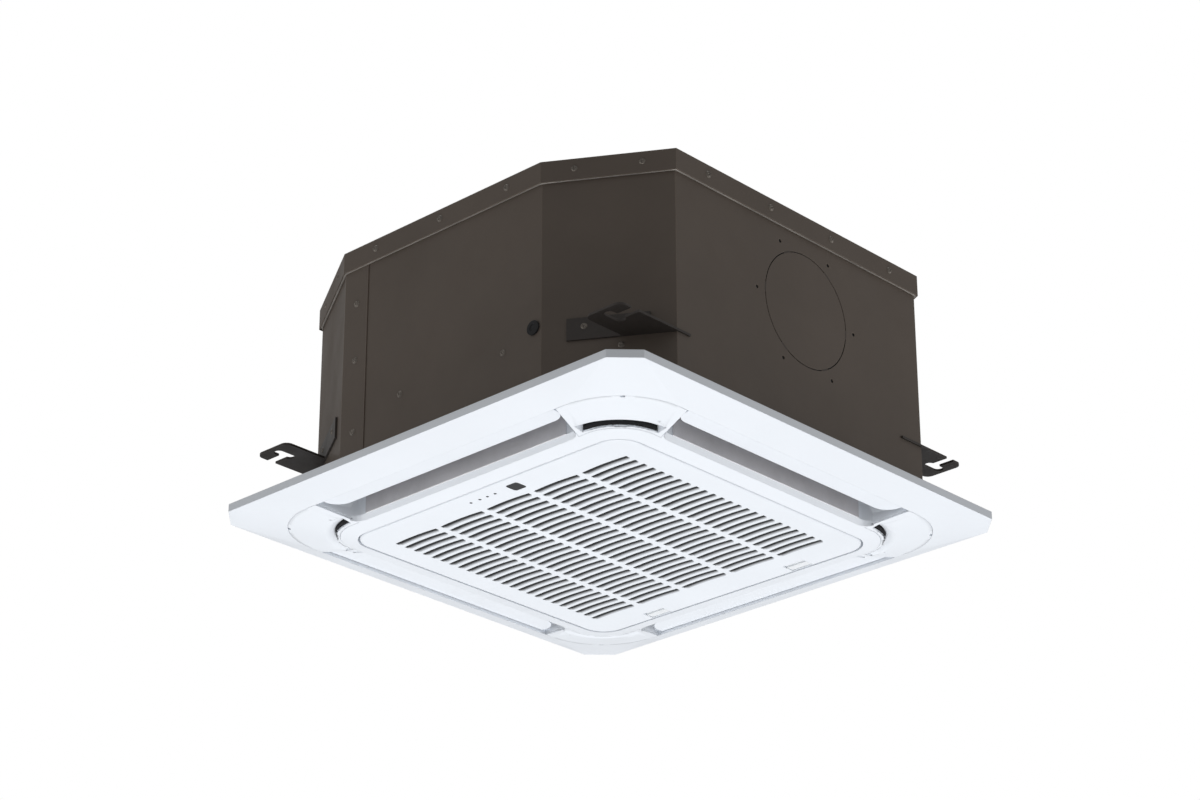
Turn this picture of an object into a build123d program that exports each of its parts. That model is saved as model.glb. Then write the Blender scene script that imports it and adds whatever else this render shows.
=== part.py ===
from build123d import *
import os
from math import atan2, cos, degrees, hypot, pi, radians, sin, sqrt

# Ceiling cassette air conditioner, in millimetres, +Z up.
# The origin is the middle of the four hanger slots, on the underside of the hanger plates.
# -Y is the side with the fresh-air knock-out and -X is the side with the cable grommet.
# A "side" below is drawn at -Y, with its length along X, and turned to the other three sides.

# ---------------------------------------------------------------- driving dimensions

# Clearances
SLIDE_GAP = 0.3            # between pieces that move past each other
SEAT_GAP = 0.3             # between a piece and the pocket it drops into
PIN_GAP = 0.08             # radial, between a pin and its bore

# Decorative panel: levels are measured from the underside of its outer rim
RIM_BELOW_HANGER = 77.0    # rim underside, below the hanger plates
PANEL_W = 647.0
GRILLE_IN = 111.0          # from the panel's edge to the grille's edge
PANEL_CUT = 28.0           # how much each corner is cut off, along each side
RIM_H = 9.3
BORDER_W = 36.5            # sloping border, from the rim to the crease
BORDER_DROP = 12.0
CREASE_R = 85.0
SKIN_T = 2.5
PANEL_RISE = 24.0          # top of the panel's walls, above the rim underside
RIB_T = 2.0
RIBS_PER_SIDE = 5
RIB_REACH = 150.0          # outermost rib from the middle of a side

# Intake grille
GRILLE_W = PANEL_W - 2 * GRILLE_IN
GRILLE_R = 30.0
GRILLE_DROP = 26.0         # grille face, below the rim underside
GRILLE_T = 2.0
GRILLE_EDGE_R = 2.5
GRILLE_SKIRT = 10.0
SEAM = 2.0
FRAME_RING_W = 21.5        # from the grille edge to the outlets
SLOT_COLUMNS = 5
SLOT_ROWS = 24
FIELD_IN_X = 42.1          # from the grille's edge to the slotted field
FIELD_IN_Y = 28.0
SLOT_BAR = 5.8             # between the ends of two slots
SLOT_PITCH_ALONG = (GRILLE_W - 2 * FIELD_IN_Y) / SLOT_COLUMNS
SLOT_PITCH_ACROSS = (GRILLE_W - 2 * FIELD_IN_X) / SLOT_ROWS
SLOT_L = SLOT_PITCH_ALONG - SLOT_BAR
SLOT_BOW_OUT = 6.4
SLOT_BOW_IN = 1.6
SLOT_DEPTH = 4.0
FIELD_MARGIN = 5.0

# Receiver window, indicator lenses and the case behind them
WINDOW_W = 17.5
WINDOW_R = 3.5
WINDOW_X = GRILLE_W / 2 - 21.0  # from the centre, towards -X
WINDOW_Y = -36.0
LENS_D = 3.4
LENS_PLACES = (33.0, 19.0, 7.0, -5.0)
LENS_X = GRILLE_W / 2 - 19.5
CASE_L = 104.0
CASE_W = 26.0
CASE_H = 11.0
CASE_T = 1.5

# Hinge of the grille, at its -X edge
HINGE_IN = 25.0  # pivot, in from the grille edge
HINGE_UP = 5.0             # pivot, above the grille face
HINGE_Y = 120.0
HINGE_POST_W = 10.0
HINGE_POST_T = 4.6
HINGE_PIN_R = 1.3
HINGE_KNUCKLE_W = 5.0
HINGE_SHELF_UP = 32.0  # underside of the post's shelf, above the grille face
HINGE_SHELF_T = 4.0

# Latches of the grille, at its +X edge
LATCH_Y = 111.0
LATCH_TAB_L = 30.0
LATCH_TAB_W = 11.0
LATCH_EDGE = 3.5           # from the grille edge to the tab
LATCH_TRAVEL = 6.0
LATCH_BODY_L = 36.0
LATCH_BODY_W = 20.0
LATCH_BODY_T = 4.0
LATCH_RECESS = 1.0
TONGUE_L = 6.0             # beyond the grille edge
TONGUE_W = 16.0
TONGUE_T = 2.4

# Air filter
FILTER_W = GRILLE_W - 75.0
FILTER_L = GRILLE_W - 45.0
FILTER_H = 5.0
FILTER_BAR = 6.0
FILTER_NET_T = 0.8
FILTER_BARS = 3

# Outlets and louvers
OUTLET_HALF = PANEL_W / 2 - 135.5  # half length at the outer edge
OUTLET_TAPER = 16.0        # each end draws in by this towards the inner edge
OUTLET_R = 14.0
COLLAR_T = 2.5
LIP_UP = 6.0               # the outlet's straight part ends this far below the rim underside
LOUVER_IN = 1.2            # blade's outer edge, from the outlet's outer edge
LOUVER_UP = 3.8            # blade's face, above the outlet's outer edge
LOUVER_W = 27.0
LOUVER_SHORT = 8.0         # each end of the blade, from the outlet's end
LOUVER_R = 20.0            # inner corners
LOUVER_T = 2.4
LOUVER_BOW = 0.4
LOUVER_PIVOT_IN = 7.0      # from the outlet's outer edge
LOUVER_PIVOT_UP = 3.4      # above the blade's face
LOUVER_BARREL_R = 2.6
LOUVER_PIN_R = 1.5
LOUVER_PIN_REACH = 6.0
STEPPER_GAP = 1.5          # motor to the wall of the outlet
STEPPER_W = 24.0
STEPPER_T = 14.0
STEPPER_FRONT = 3.0        # motor body, outwards of the pivot
STEPPER_UNDER = 2.2        # motor body, below the pivot
STEPPER_RISE = 26.0
PAD_T = 1.2                # insulation on the duct's inner wall
PAD_HALF = OUTLET_HALF - 31.0
PAD_FROM_RIM = 13.5        # lower edge of the insulation, below the rim underside

# Corner covers
COVER_GAP = 0.4
COVER_T = 1.8
COVER_INNER_R = 50.0
ARC_CENTRE = PANEL_W / 2 - 131.5  # of the arc slot, along both sides
ARC_IN_R = 46.0
ARC_OPEN_R = 50.5
ARC_OUT_R = 58.5
ARC_RISE = 7.0
ARC_SWEEP = 88.0
ARC_END_DEG = 7.0          # each sloping end
ARC_WALL = 2.0
COVER_POST_R = 4.0
NOTCH_W = 5.0
WEB_UP = 1.0               # web over the corner pockets, above the rim underside
WEB_T = 2.5
FOAM_T = 3.0
FOAM_LOW = 7.4             # lining's lower edge, above the grille face
FOAM_LOW_SWEEP = 78.0
FOAM_SWEEP = 100.0
PANEL_SCREW_R = 2.5
PANEL_HEAD_R = 5.5
PANEL_SCREW_IN = (101.5, 91.5)   # from the panel's edges

# Casing
SEAL_T = 9.0
CASING_H = 265.0
RIM_X = PANEL_W - 83.0
RIM_Y = PANEL_W - 69.0
CUT_Y = 130.0              # cut corners, along the Y faces' normal
CUT_X_NEAR = 79.0          # cut corners at -X, along X
CUT_X_FAR = 61.0           # cut corners at +X, along X
SHEET_T = 1.0
RIM_OVERHANG = 4.0
RIM_DROP = 26.0
LAP_W = 37.0
LAP_TUCK = 5.0
PLATFORM_R = 95.0
PLATFORM_DEPTH = 8.0
BEAD_W = 16.0
BEAD_H = 2.5
BEAD_FROM = 122.0
BEAD_TO = 232.0

# Fresh-air knock-out on the -Y side
KNOCKOUT_X = 17.0
KNOCKOUT_Z = 103.0
KNOCKOUT_R = 70.0
KNOCKOUT_SLIT = 1.2
KNOCKOUT_TIES = 6
KNOCKOUT_TIE_DEG = 9.0
KNOCKOUT_PCD = 168.0
KNOCKOUT_HOLES = 6
KNOCKOUT_HOLE_R = 2.3

# Fasteners
SCREW_R = 4.2
SCREW_H = 2.2
RIM_SCREW_DOWN = 12.0      # below the casing top
RIM_SCREW_PITCH = 118.0
CUT_SCREW_Z = -9.4
CUT_SCREW_SHARE = 0.41     # along each cut corner, from its Y end
GROMMET_Y = -146.6
GROMMET_Z = 22.9
GROMMET_R = 8.5

# Hangers
HANGER_PITCH_X = RIM_X - 19.0
HANGER_PITCH_Y = RIM_Y - 55.0
HANGER_SLOT_R = 6.0
HANGER_SLOT_L = 28.0
HANGER_ENTRY_SHIFT = 3.0  # entry, from the slot's middle towards the casing
HANGER_PLATE_T = 2.6
HANGER_PLATE_W = 52.0
HANGER_TIP = 20.0  # from the slot's middle to the plate's end
HANGER_CORNER_R = 9.0
HANGER_FLANGE_H = 26.0
HANGER_FLANGE_SHARE = 0.62   # of the cut corner's length

# Coil
COIL_OUT = RIM_X / 2 - 67.0  # half width over the fins
COIL_T = 26.0
COIL_R = 60.0
COIL_H = 194.0
COIL_END = 100.0           # the coil is open beyond this at the +X +Y corner
END_PLATE_T = 1.5
END_PLATE_LIP = 3.0
DUCT_GAP = 4.0             # coil to duct
TUBE_R = 4.0
BEND_R = 6.0
BEND_COUNT = 4
BEND_PITCH = 24.0
BEND_LOW = 160.0           # lowest return bend, above the casing's lower edge

# Insulation and drain pan
FOAM_GAP = 0.3
LINER_T = 12.0
DRAIN_PAN_H = 62.0
DUCT_HALF = OUTLET_HALF - 20.0
DUCT_W = 41.0
DUCT_R = 12.0
FAN_WELL_R = COIL_OUT - 35.0
TROUGH_DEPTH = 8.0
CORNER_PLATE_T = 1.5
CORNER_PLATE_REACH = 34.0
CORNER_PLATE_SHARE = 0.6   # of the cut corner's length
CORNER_PLATE_PLAY = 0.005
CORNER_FLANGE_H = 20.0

# Air mover
BELL_PLATE_W = 2 * COIL_OUT - 10.0
BELL_T = 2.5
BELL_MOUTH_R = COIL_OUT - 73.0
BELL_THROAT_R = COIL_OUT - 105.0
BELL_H = 39.0
FAN_R = COIL_OUT - 43.0
FAN_INLET_R = COIL_OUT - 100.0
FAN_SHROUD_LOW = 31.0      # above the casing's lower edge
FAN_SHROUD_TOP = 71.0
FAN_HUB_Z = 165.0
FAN_T = 2.4
FAN_BLADES = 8
FAN_BLADE_IN_R = COIL_OUT - 93.0
FAN_BLADE_LEAD_DEG = 34.0
FAN_BLADE_T = 5.0
FAN_BOSS_R = 14.0
FAN_BOSS_LOW = 139.0
FAN_DISH_R = 84.0
SHAFT_R = 5.0
SHAFT_LOW = 131.0
NUT_AF = 17.0
NUT_H = 7.0
MOTOR_R = 62.0
MOTOR_LOW = 175.0
MOTOR_H = 68.0
MOTOR_EAR_R = 74.0
MOTOR_EAR_T = 4.0
BUSHING_R = 8.0
BUSHING_PCR = 66.0
BUSHINGS = 3

# Condensate pump and pipes, at the +X +Y corner; heights above the casing's lower edge
PUMP_X = RIM_X / 2 - 92.0
PUMP_Y = RIM_Y / 2 - 84.0
PUMP_R = 24.0
PUMP_LOW = 79.0
PUMP_DECK = 137.0
PUMP_DECK_T = 1.5
SUMP_GAP = 3.0
SUMP_DEPTH = 30.0
FLOAT_X = RIM_X / 2 - 79.0
FLOAT_Y = RIM_Y / 2 - 129.0
FLOAT_R = 10.0
FLOAT_H = 14.0
FLOAT_LOW = 47.0
FLOAT_STEM_R = 2.5
PIPE_Y = 124.0
PIPE_OUT = 52.0            # beyond the casing
GAS_R = 6.35
GAS_Z = 79.0
LIQUID_R = 3.175
LIQUID_Z = 117.0
NUT_GAS_AF = 24.0
NUT_GAS_L = 22.0
NUT_LIQUID_AF = 17.0
NUT_LIQUID_L = 17.0
DRAIN_Z = 182.0
DRAIN_R = 13.0
DRAIN_BORE_R = 10.0
DRAIN_OUT = 32.0
DRAIN_COLLAR = 3.0
HOSE_R = 9.0
PIPE_PLATE_W = 46.0
PIPE_PLATE_LOW = 60.0
PIPE_PLATE_TOP = 206.0
PIPE_PLATE_LIP = 5.0

# Control box, under the bell mouth plate on the +Y side
BOX_L = GRILLE_W - 73.0
BOX_W = 54.0
BOX_Y = GRILLE_W / 2 - 63.5
BOX_H = 38.0
BOX_T = 1.2

# ---------------------------------------------------------------- levels and derived sizes

RIM_Z = -RIM_BELOW_HANGER
CREASE_Z = RIM_Z - BORDER_DROP
FACE_Z = RIM_Z - GRILLE_DROP
RIM_TOP_Z = RIM_Z + RIM_H
PANEL_TOP_Z = RIM_Z + PANEL_RISE
CASING_LOW_Z = PANEL_TOP_Z + SEAL_T
CASING_TOP_Z = CASING_LOW_Z + CASING_H
WEB_Z = RIM_Z + WEB_UP
CREASE_HALF = PANEL_W / 2 - BORDER_W
GRILLE_HALF = GRILLE_W / 2
INTAKE_HALF = GRILLE_HALF + SEAM
INTAKE_R = GRILLE_R + SEAM
OUTLET_IN = GRILLE_HALF + FRAME_RING_W
OUTLET_OUT = CREASE_HALF
CREASE_CENTRE = CREASE_HALF - CREASE_R
DUCT_IN = COIL_OUT + DUCT_GAP
DUCT_OUT = DUCT_IN + DUCT_W
INNER_SLOPE = (GRILLE_DROP - BORDER_DROP) / (CREASE_HALF - GRILLE_HALF)
SHEET_X = RIM_X / 2 - RIM_OVERHANG
SHEET_Y = RIM_Y / 2 - RIM_OVERHANG
DRAIN_PAN_TOP_Z = CASING_LOW_Z + DRAIN_PAN_H
COIL_LOW_Z = DRAIN_PAN_TOP_Z - TROUGH_DEPTH
PIVOT_S = OUTLET_OUT - LOUVER_PIVOT_IN
LOUVER_Z = CREASE_Z + LOUVER_UP
PIVOT_Z = LOUVER_Z + LOUVER_PIVOT_UP
PANEL_SCREW_AT = tuple(inset - PANEL_W / 2 for inset in PANEL_SCREW_IN)
EPS = 1.0                  # overrun of a cut past a face
QUARTER_TURNS = (0, 90, 180, 270)


# ---------------------------------------------------------------- helpers

def write(name, *shapes):
    """Write one node: every solid of the given shapes, in one STEP file."""
    solids = [solid for shape in shapes for solid in shape.solids()]
    export_step(Compound(children=solids), "parts/" + name + ".step")


def turned(shape, angle):
    """The shape turned about the unit's upright centre line."""
    return Rot(0, 0, angle) * shape


def prism(sketch, low, high):
    """A sketch stood up between two levels."""
    return Pos(0, 0, low) * extrude(sketch, high - low, dir=(0, 0, 1))


def bar(x0, x1, y0, y1, z0, z1):
    """A straight block between two corners."""
    return Pos((x0 + x1) / 2, (y0 + y1) / 2, (z0 + z1) / 2) * Box(x1 - x0, y1 - y0, z1 - z0)


def rod(radius, low, high):
    """An upright round bar on the centre line."""
    return Pos(0, 0, (low + high) / 2) * Cylinder(radius, high - low)


def tube(outer, inner, low, high):
    """An upright pipe on the centre line."""
    return rod(outer, low, high) - rod(inner, low - EPS, high + EPS)


def ring_sketch(half, radius, grow=0.0):
    """A rounded square of the given half width, grown outwards."""
    return RectangleRounded(2 * (half + grow), 2 * (half + grow), radius + grow)


def across_diagonal(shape):
    """The shape reflected in the upright plane x = y."""
    return Rot(0, 0, -90) * mirror(shape, about=Plane.YZ)


def cone_head(radius, height):
    """A low screw head that stands on z = 0."""
    return extrude(Circle(radius), height, taper=38)


def hexagon(across_flats):
    """A hexagon given by its width over the flats."""
    return RegularPolygon(across_flats / 2, 6, major_radius=False)


# ---------------------------------------------------------------- decorative panel

def panel_outline(inset=0.0):
    """The square panel with its cut corners."""
    width = PANEL_W - 2 * inset
    cut = PANEL_CUT - inset * (2 - sqrt(2))
    return chamfer(Rectangle(width, width).vertices(), cut)


def face_height(s):
    """Level of the panel's face between the crease and the grille, s from the centre."""
    return CREASE_Z - (CREASE_HALF - s) * INNER_SLOPE


def dome(lift, inset, rise):
    """Everything above the panel's face: a border slope, an inner slope and a block over them."""
    border = loft([Pos(0, 0, CREASE_Z + lift) * ring_sketch(CREASE_HALF, CREASE_R),
                   Pos(0, 0, RIM_Z + lift) * panel_outline(inset)], ruled=True)
    inner = loft([Pos(0, 0, FACE_Z + lift) * ring_sketch(GRILLE_HALF, GRILLE_R),
                  Pos(0, 0, CREASE_Z + lift) * ring_sketch(CREASE_HALF, CREASE_R)], ruled=True)
    return border + inner + prism(panel_outline(inset), RIM_Z + lift, RIM_Z + lift + rise)


def outlet_half(s):
    """Half length of an outlet at a distance s from the centre."""
    return OUTLET_HALF - OUTLET_TAPER * (OUTLET_OUT - s) / (OUTLET_OUT - OUTLET_IN)


def outlet_outline(grow=0.0):
    """The -Y outlet in plan: ends that draw in, and two rounded inner corners."""
    end_grow = grow * hypot(OUTLET_TAPER, OUTLET_OUT - OUTLET_IN) / (OUTLET_OUT - OUTLET_IN)
    s_out, s_in = OUTLET_OUT + grow, OUTLET_IN - grow
    half_out, half_in = outlet_half(s_out) + end_grow, outlet_half(s_in) + end_grow
    plain = Polygon((-half_out, -s_out), (half_out, -s_out), (half_in, -s_in), (-half_in, -s_in), align=None)
    return fillet(plain.vertices().group_by(Axis.Y)[-1], OUTLET_R + grow)


def duct_outline(grow=0.0):
    """The -Y duct in plan, where it meets the drain pan."""
    wide = RectangleRounded(2 * (DUCT_HALF + grow), DUCT_W + 2 * grow, DUCT_R + grow)
    return Pos(0, -(DUCT_IN + DUCT_OUT) / 2) * wide


def outlet_passage(grow=0.0, low=FACE_Z - EPS, high=PANEL_TOP_Z):
    """The air's way through the panel: straight at the lip, then leaning in to the duct."""
    lip_z = RIM_Z - LIP_UP
    lean_sections = [Pos(0, 0, lip_z) * outlet_outline(grow), Pos(0, 0, PANEL_TOP_Z) * lean_outline(grow)]
    passage = prism(outlet_outline(grow), low, lip_z) + loft(lean_sections, ruled=True)
    if high > PANEL_TOP_Z:
        passage += prism(lean_outline(grow), PANEL_TOP_Z, high)
    return passage


def lean_outline(grow=0.0):
    """The top of the leaning part, with the same corners as the outlet."""
    s_out, s_in = DUCT_OUT + grow, DUCT_IN - grow
    half = DUCT_HALF + grow
    plain = Polygon((-half, -s_out), (half, -s_out), (half, -s_in), (-half, -s_in), align=None)
    return fillet(plain.vertices().group_by(Axis.Y)[-1], DUCT_R + grow)


def corner_zone(shrink=0.0):
    """Plan of the corner piece at -X -Y: crease arc outside, outlet ends at the sides, arc inside."""
    outer = ring_sketch(CREASE_HALF, CREASE_R, -shrink)
    inner = ring_sketch(OUTLET_IN, COVER_INNER_R, shrink)
    reach = OUTLET_OUT + EPS
    taper_reach = outlet_half(reach)
    end = shrink * hypot(OUTLET_TAPER, OUTLET_OUT - OUTLET_IN) / (OUTLET_OUT - OUTLET_IN)
    strip = Polygon((-taper_reach - end, -reach), (reach, -reach), (reach, 0),
                    (-outlet_half(0) - end, 0), align=None)
    other = Polygon((-reach, -taper_reach - end), (-reach, reach), (0, reach),
                    (0, -outlet_half(0) - end), align=None)
    quarter = Polygon((-reach, -reach), (0, -reach), (0, 0), (-reach, 0), align=None)
    return ((outer - inner) & quarter) - strip - other


def panel_frame():
    """The panel's frame: face skin, walls round the intake and outlets, corner pockets and ribs."""
    skin = dome(0, 0, RIM_H) - dome(SKIN_T * 1.06, SKIN_T, RIM_H)
    intake = ring_sketch(INTAKE_HALF, INTAKE_R)
    above_cover = dome(COVER_T + SEAT_GAP, 0, RIM_H)
    walls = [prism(ring_sketch(INTAKE_HALF, INTAKE_R, SKIN_T), FACE_Z - EPS, PANEL_TOP_Z)]
    cuts = [prism(intake, FACE_Z - 2 * EPS, PANEL_TOP_Z + EPS)]
    for angle in QUARTER_TURNS:
        walls.append(turned(outlet_passage(COLLAR_T), angle))
        cuts.append(turned(outlet_passage(low=FACE_Z - 2 * EPS, high=PANEL_TOP_Z + EPS), angle))
        pocket = prism(corner_zone(-SKIN_T), FACE_Z - EPS, WEB_Z + WEB_T)
        walls.append(turned(pocket, angle))
        cuts.append(turned(prism(corner_zone(COLLAR_T), FACE_Z - 2 * EPS, WEB_Z), angle))
        cuts.append(turned(prism(corner_zone(), FACE_Z - 2 * EPS, WEB_Z) - above_cover, angle))
        for index in range(RIBS_PER_SIDE):
            along = RIB_REACH * (2 * index / (RIBS_PER_SIDE - 1) - 1)
            rib = bar(along - RIB_T / 2, along + RIB_T / 2, -PANEL_W / 2 + SKIN_T / 2,
                      -OUTLET_OUT - SKIN_T / 2, CREASE_Z, RIM_TOP_Z - RIB_T)
            walls.append(turned(rib, angle))
    body = dome(0, 0, PANEL_RISE + EPS) & (Part() + walls)
    frame = (skin + body) - cuts
    hole = Pos(*PANEL_SCREW_AT, WEB_Z) * Cylinder(PANEL_SCREW_R + SEAT_GAP, 4 * WEB_T)
    motor_hole = stepper_block(SEAT_GAP, PANEL_TOP_Z + EPS)
    pin_hole = louver_pins(LOUVER_PIN_R + PIN_GAP, EPS)
    frame -= [turned(piece, angle) for piece in (hole, motor_hole, pin_hole) for angle in QUARTER_TURNS]
    frame += [hinge_post(side) for side in (-1, 1)]
    frame -= [latch_window(side) for side in (-1, 1)]
    return frame


def corner_screw(sx, sy):
    """Plan position of the panel screw in the corner with these signs."""
    x, y = (abs(value) for value in PANEL_SCREW_AT)
    return (sx * x, sy * y) if sx == sy else (sx * y, sy * x)


def stepper_block(grow, top):
    """The louver motor's body, past the -X end of the -Y outlet."""
    near = -outlet_half(PIVOT_S) - COLLAR_T - STEPPER_GAP
    return bar(near - STEPPER_T - grow, near + grow, -PIVOT_S - STEPPER_FRONT - grow,
               -PIVOT_S + STEPPER_W - STEPPER_FRONT + grow, PIVOT_Z - STEPPER_UNDER - grow, top)


def louver_pins(radius, extra=0.0):
    """The two pins at the ends of the -Y louver."""
    reach = outlet_half(PIVOT_S) + LOUVER_PIN_REACH + extra
    start = OUTLET_HALF - 2 * LOUVER_SHORT
    pin = Pos(start, -PIVOT_S, PIVOT_Z) * (Rot(0, 90, 0) * extrude(Circle(radius), reach - start))
    return pin + mirror(pin, about=Plane.YZ)


def hinge_post(side):
    """A post that comes down from the intake wall and carries the grille's hinge pin."""
    x_wall = -INTAKE_HALF
    x_pivot = -GRILLE_HALF + HINGE_IN
    z_pivot = FACE_Z + HINGE_UP
    y_mid = side * HINGE_Y
    shelf = bar(x_wall - SKIN_T / 2, x_pivot + HINGE_POST_T / 2, y_mid - HINGE_POST_W / 2,
                y_mid + HINGE_POST_W / 2, FACE_Z + HINGE_SHELF_UP, FACE_Z + HINGE_SHELF_UP + HINGE_SHELF_T)
    post = bar(x_pivot - HINGE_POST_T / 2, x_pivot + HINGE_POST_T / 2, y_mid - HINGE_POST_W / 2,
               y_mid + HINGE_POST_W / 2, z_pivot, FACE_Z + HINGE_SHELF_UP + HINGE_SHELF_T)
    round_end = Pos(x_pivot, y_mid, z_pivot) * (Rot(90, 0, 0) * Cylinder(HINGE_POST_T / 2, HINGE_POST_W))
    bore = Pos(x_pivot, y_mid, z_pivot) * (Rot(90, 0, 0) * Cylinder(HINGE_PIN_R + PIN_GAP, 2 * HINGE_POST_W))
    return shelf + post + round_end - bore


def latch_window(side):
    """The opening in the intake wall that a latch tongue enters."""
    z_mid = tongue_z()
    return bar(INTAKE_HALF - EPS, INTAKE_HALF + SKIN_T + EPS, side * LATCH_Y - TONGUE_W / 2 - 1,
               side * LATCH_Y + TONGUE_W / 2 + 1, z_mid - TONGUE_T / 2 - SLIDE_GAP, z_mid + TONGUE_T / 2 + 1)


def tongue_z():
    """Mid level of a latch tongue."""
    return FACE_Z + GRILLE_T + SLIDE_GAP + LATCH_BODY_T - TONGUE_T / 2


def corner_cover():
    """The snap-in cover of the -X -Y corner, with its arc slot and the scoop behind it."""
    zone = corner_zone(COVER_GAP)
    solid = dome(0, 0, EPS)
    skin = (solid - dome(COVER_T, COVER_T, RIM_H)) & prism(zone, FACE_Z - EPS, RIM_Z)
    hood = (arc_scoop(ARC_WALL) & solid) & prism(zone, FACE_Z - EPS, RIM_Z)
    opening = prism(arc_plan(ARC_IN_R, ARC_OPEN_R, ARC_SWEEP), FACE_Z - EPS, RIM_Z)
    posts = [Pos(x, y, 0) * rod(COVER_POST_R, FACE_Z, WEB_Z) for x, y in cover_post_places()]
    posts = [post & solid for post in posts]
    notch_r = CREASE_R - COVER_GAP
    notch_at = CREASE_CENTRE + notch_r * cos(pi / 4)
    notch = Pos(-notch_at, -notch_at, CREASE_Z) * (Rot(0, 0, 45) * Box(NOTCH_W, NOTCH_W, 4 * SKIN_T))
    return skin + hood + posts - arc_scoop(0.0) - opening - notch


def arc_scoop(grow):
    """The arc slot's hollow: it narrows from the face to the opening, at its back and its ends."""
    grow_deg = degrees(grow / ARC_OPEN_R)
    low = face_height(ARC_CENTRE + ARC_OPEN_R)
    wide = arc_plan(ARC_IN_R, ARC_OUT_R + grow, ARC_SWEEP + 2 * (ARC_END_DEG + grow_deg))
    narrow = arc_plan(ARC_IN_R, ARC_OPEN_R + grow, ARC_SWEEP + 2 * grow_deg)
    slope = loft([Pos(0, 0, low) * wide, Pos(0, 0, low + ARC_RISE) * narrow], ruled=True)
    scoop = slope + prism(wide, FACE_Z - 2 * EPS, low)
    return scoop + prism(narrow, low + ARC_RISE, low + ARC_RISE + grow) if grow else scoop


def cover_post_places():
    """Where the cover's posts stand, symmetric about the corner's diagonal."""
    far, near = CREASE_CENTRE + CREASE_R * 0.86, CREASE_CENTRE + CREASE_R * 0.12
    return ((-far, -near), (-near, -far))


def arc_plan(inner, outer, sweep):
    """Part of a ring in plan, about the arc slot's centre and square to the corner."""
    start = 225 - sweep / 2
    outside = CenterArc((0, 0), outer, start, sweep)
    inside = CenterArc((0, 0), inner, start + sweep, -sweep)
    edges = [outside, Line(outside @ 1, inside @ 0), inside, Line(inside @ 1, outside @ 0)]
    return Pos(-ARC_CENTRE, -ARC_CENTRE) * make_face(edges)


def corner_foam():
    """Dark foam in the corner pocket: under its web, and down its inner wall behind the arc slot."""
    pocket = corner_zone(COLLAR_T + SEAT_GAP)
    over = prism(arc_plan(ARC_IN_R - 2 * ARC_WALL, ARC_OUT_R + 2 * ARC_WALL, ARC_SWEEP), WEB_Z - FOAM_T, WEB_Z)
    wall = ring_sketch(OUTLET_IN, COVER_INNER_R, COLLAR_T + FOAM_T) - ring_sketch(OUTLET_IN, COVER_INNER_R, COLLAR_T)
    low = FACE_Z + FOAM_LOW
    lining = prism(wall & arc_plan(EPS, 2 * ARC_OUT_R, FOAM_LOW_SWEEP), low, WEB_Z)
    lining += prism(wall & arc_plan(EPS, 2 * ARC_OUT_R, FOAM_SWEEP), low + ARC_RISE + ARC_WALL, WEB_Z)
    foam = (over + lining) & prism(pocket, FACE_Z, WEB_Z)
    return foam - Pos(*PANEL_SCREW_AT, 0) * rod(PANEL_HEAD_R + EPS, WEB_Z - 2 * FOAM_T, WEB_Z + EPS)


# ---------------------------------------------------------------- louvers

def louver():
    """The -Y louver at rest, its blade level, with the barrel and the two pins that carry it."""
    s_out = OUTLET_OUT - LOUVER_IN
    s_in, s_mid = s_out - LOUVER_W, s_out - LOUVER_W / 2
    lower = ThreePointArc((-s_out, LOUVER_Z), (-s_mid, LOUVER_Z - LOUVER_BOW), (-s_in, LOUVER_Z))
    upper = ThreePointArc((-s_in, LOUVER_Z + LOUVER_T * 0.6), (-s_mid, LOUVER_Z + LOUVER_T),
                          (-s_out, LOUVER_Z + LOUVER_T * 0.8))
    section = Plane.YZ * make_face([lower, Line(lower @ 1, upper @ 0), upper, Line(upper @ 1, lower @ 0)])
    blade = extrude(section, OUTLET_HALF, both=True)
    barrel = Pos(0, -PIVOT_S, PIVOT_Z) * (Rot(0, 90, 0) * Cylinder(LOUVER_BARREL_R, 2 * OUTLET_HALF))
    return ((blade + barrel) & prism(louver_outline(), FACE_Z, RIM_Z)) + louver_pins(LOUVER_PIN_R)


def louver_outline():
    """Plan of the louver, with broad round inner corners."""
    s_out, s_in = OUTLET_OUT - LOUVER_IN, OUTLET_OUT - LOUVER_IN - LOUVER_W
    half = OUTLET_HALF - LOUVER_SHORT
    plain = Polygon((-half, -s_out), (half, -s_out), (half, -s_in), (-half, -s_in), align=None)
    return fillet(plain.vertices().group_by(Axis.Y)[-1], LOUVER_R)


def louver_motor():
    """The stepper motor that turns the -Y louver, with a bore for the louver's pin."""
    body = stepper_block(0.0, PIVOT_Z - STEPPER_UNDER + STEPPER_RISE)
    return body - louver_pins(LOUVER_PIN_R + PIN_GAP, EPS)


def duct_pad():
    """Insulation on the inner wall of the -Y outlet."""
    low = RIM_Z - PAD_FROM_RIM
    passage = outlet_passage()
    pad = passage - Pos(0, -PAD_T, 0) * outlet_passage(high=PANEL_TOP_Z + EPS)
    return pad & bar(-PAD_HALF, PAD_HALF, -OUTLET_IN - 2 * PAD_T, 0, low, PANEL_TOP_Z)


def duct_seal():
    """The foam ring that closes the gap between the -Y collar and the drain pan."""
    ring = duct_outline(COLLAR_T + PAD_T) - duct_outline()
    return prism(ring, PANEL_TOP_Z, CASING_LOW_Z)


# ---------------------------------------------------------------- intake grille

def slot_outline():
    """One intake slot, bowed towards -X, its length along Y."""
    half = SLOT_L / 2
    bowed = ThreePointArc((0, -half), (-SLOT_BOW_OUT, 0), (0, half))
    inner = ThreePointArc((0, half), (SLOT_BOW_IN, 0), (0, -half))
    return make_face([bowed, inner])


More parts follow.
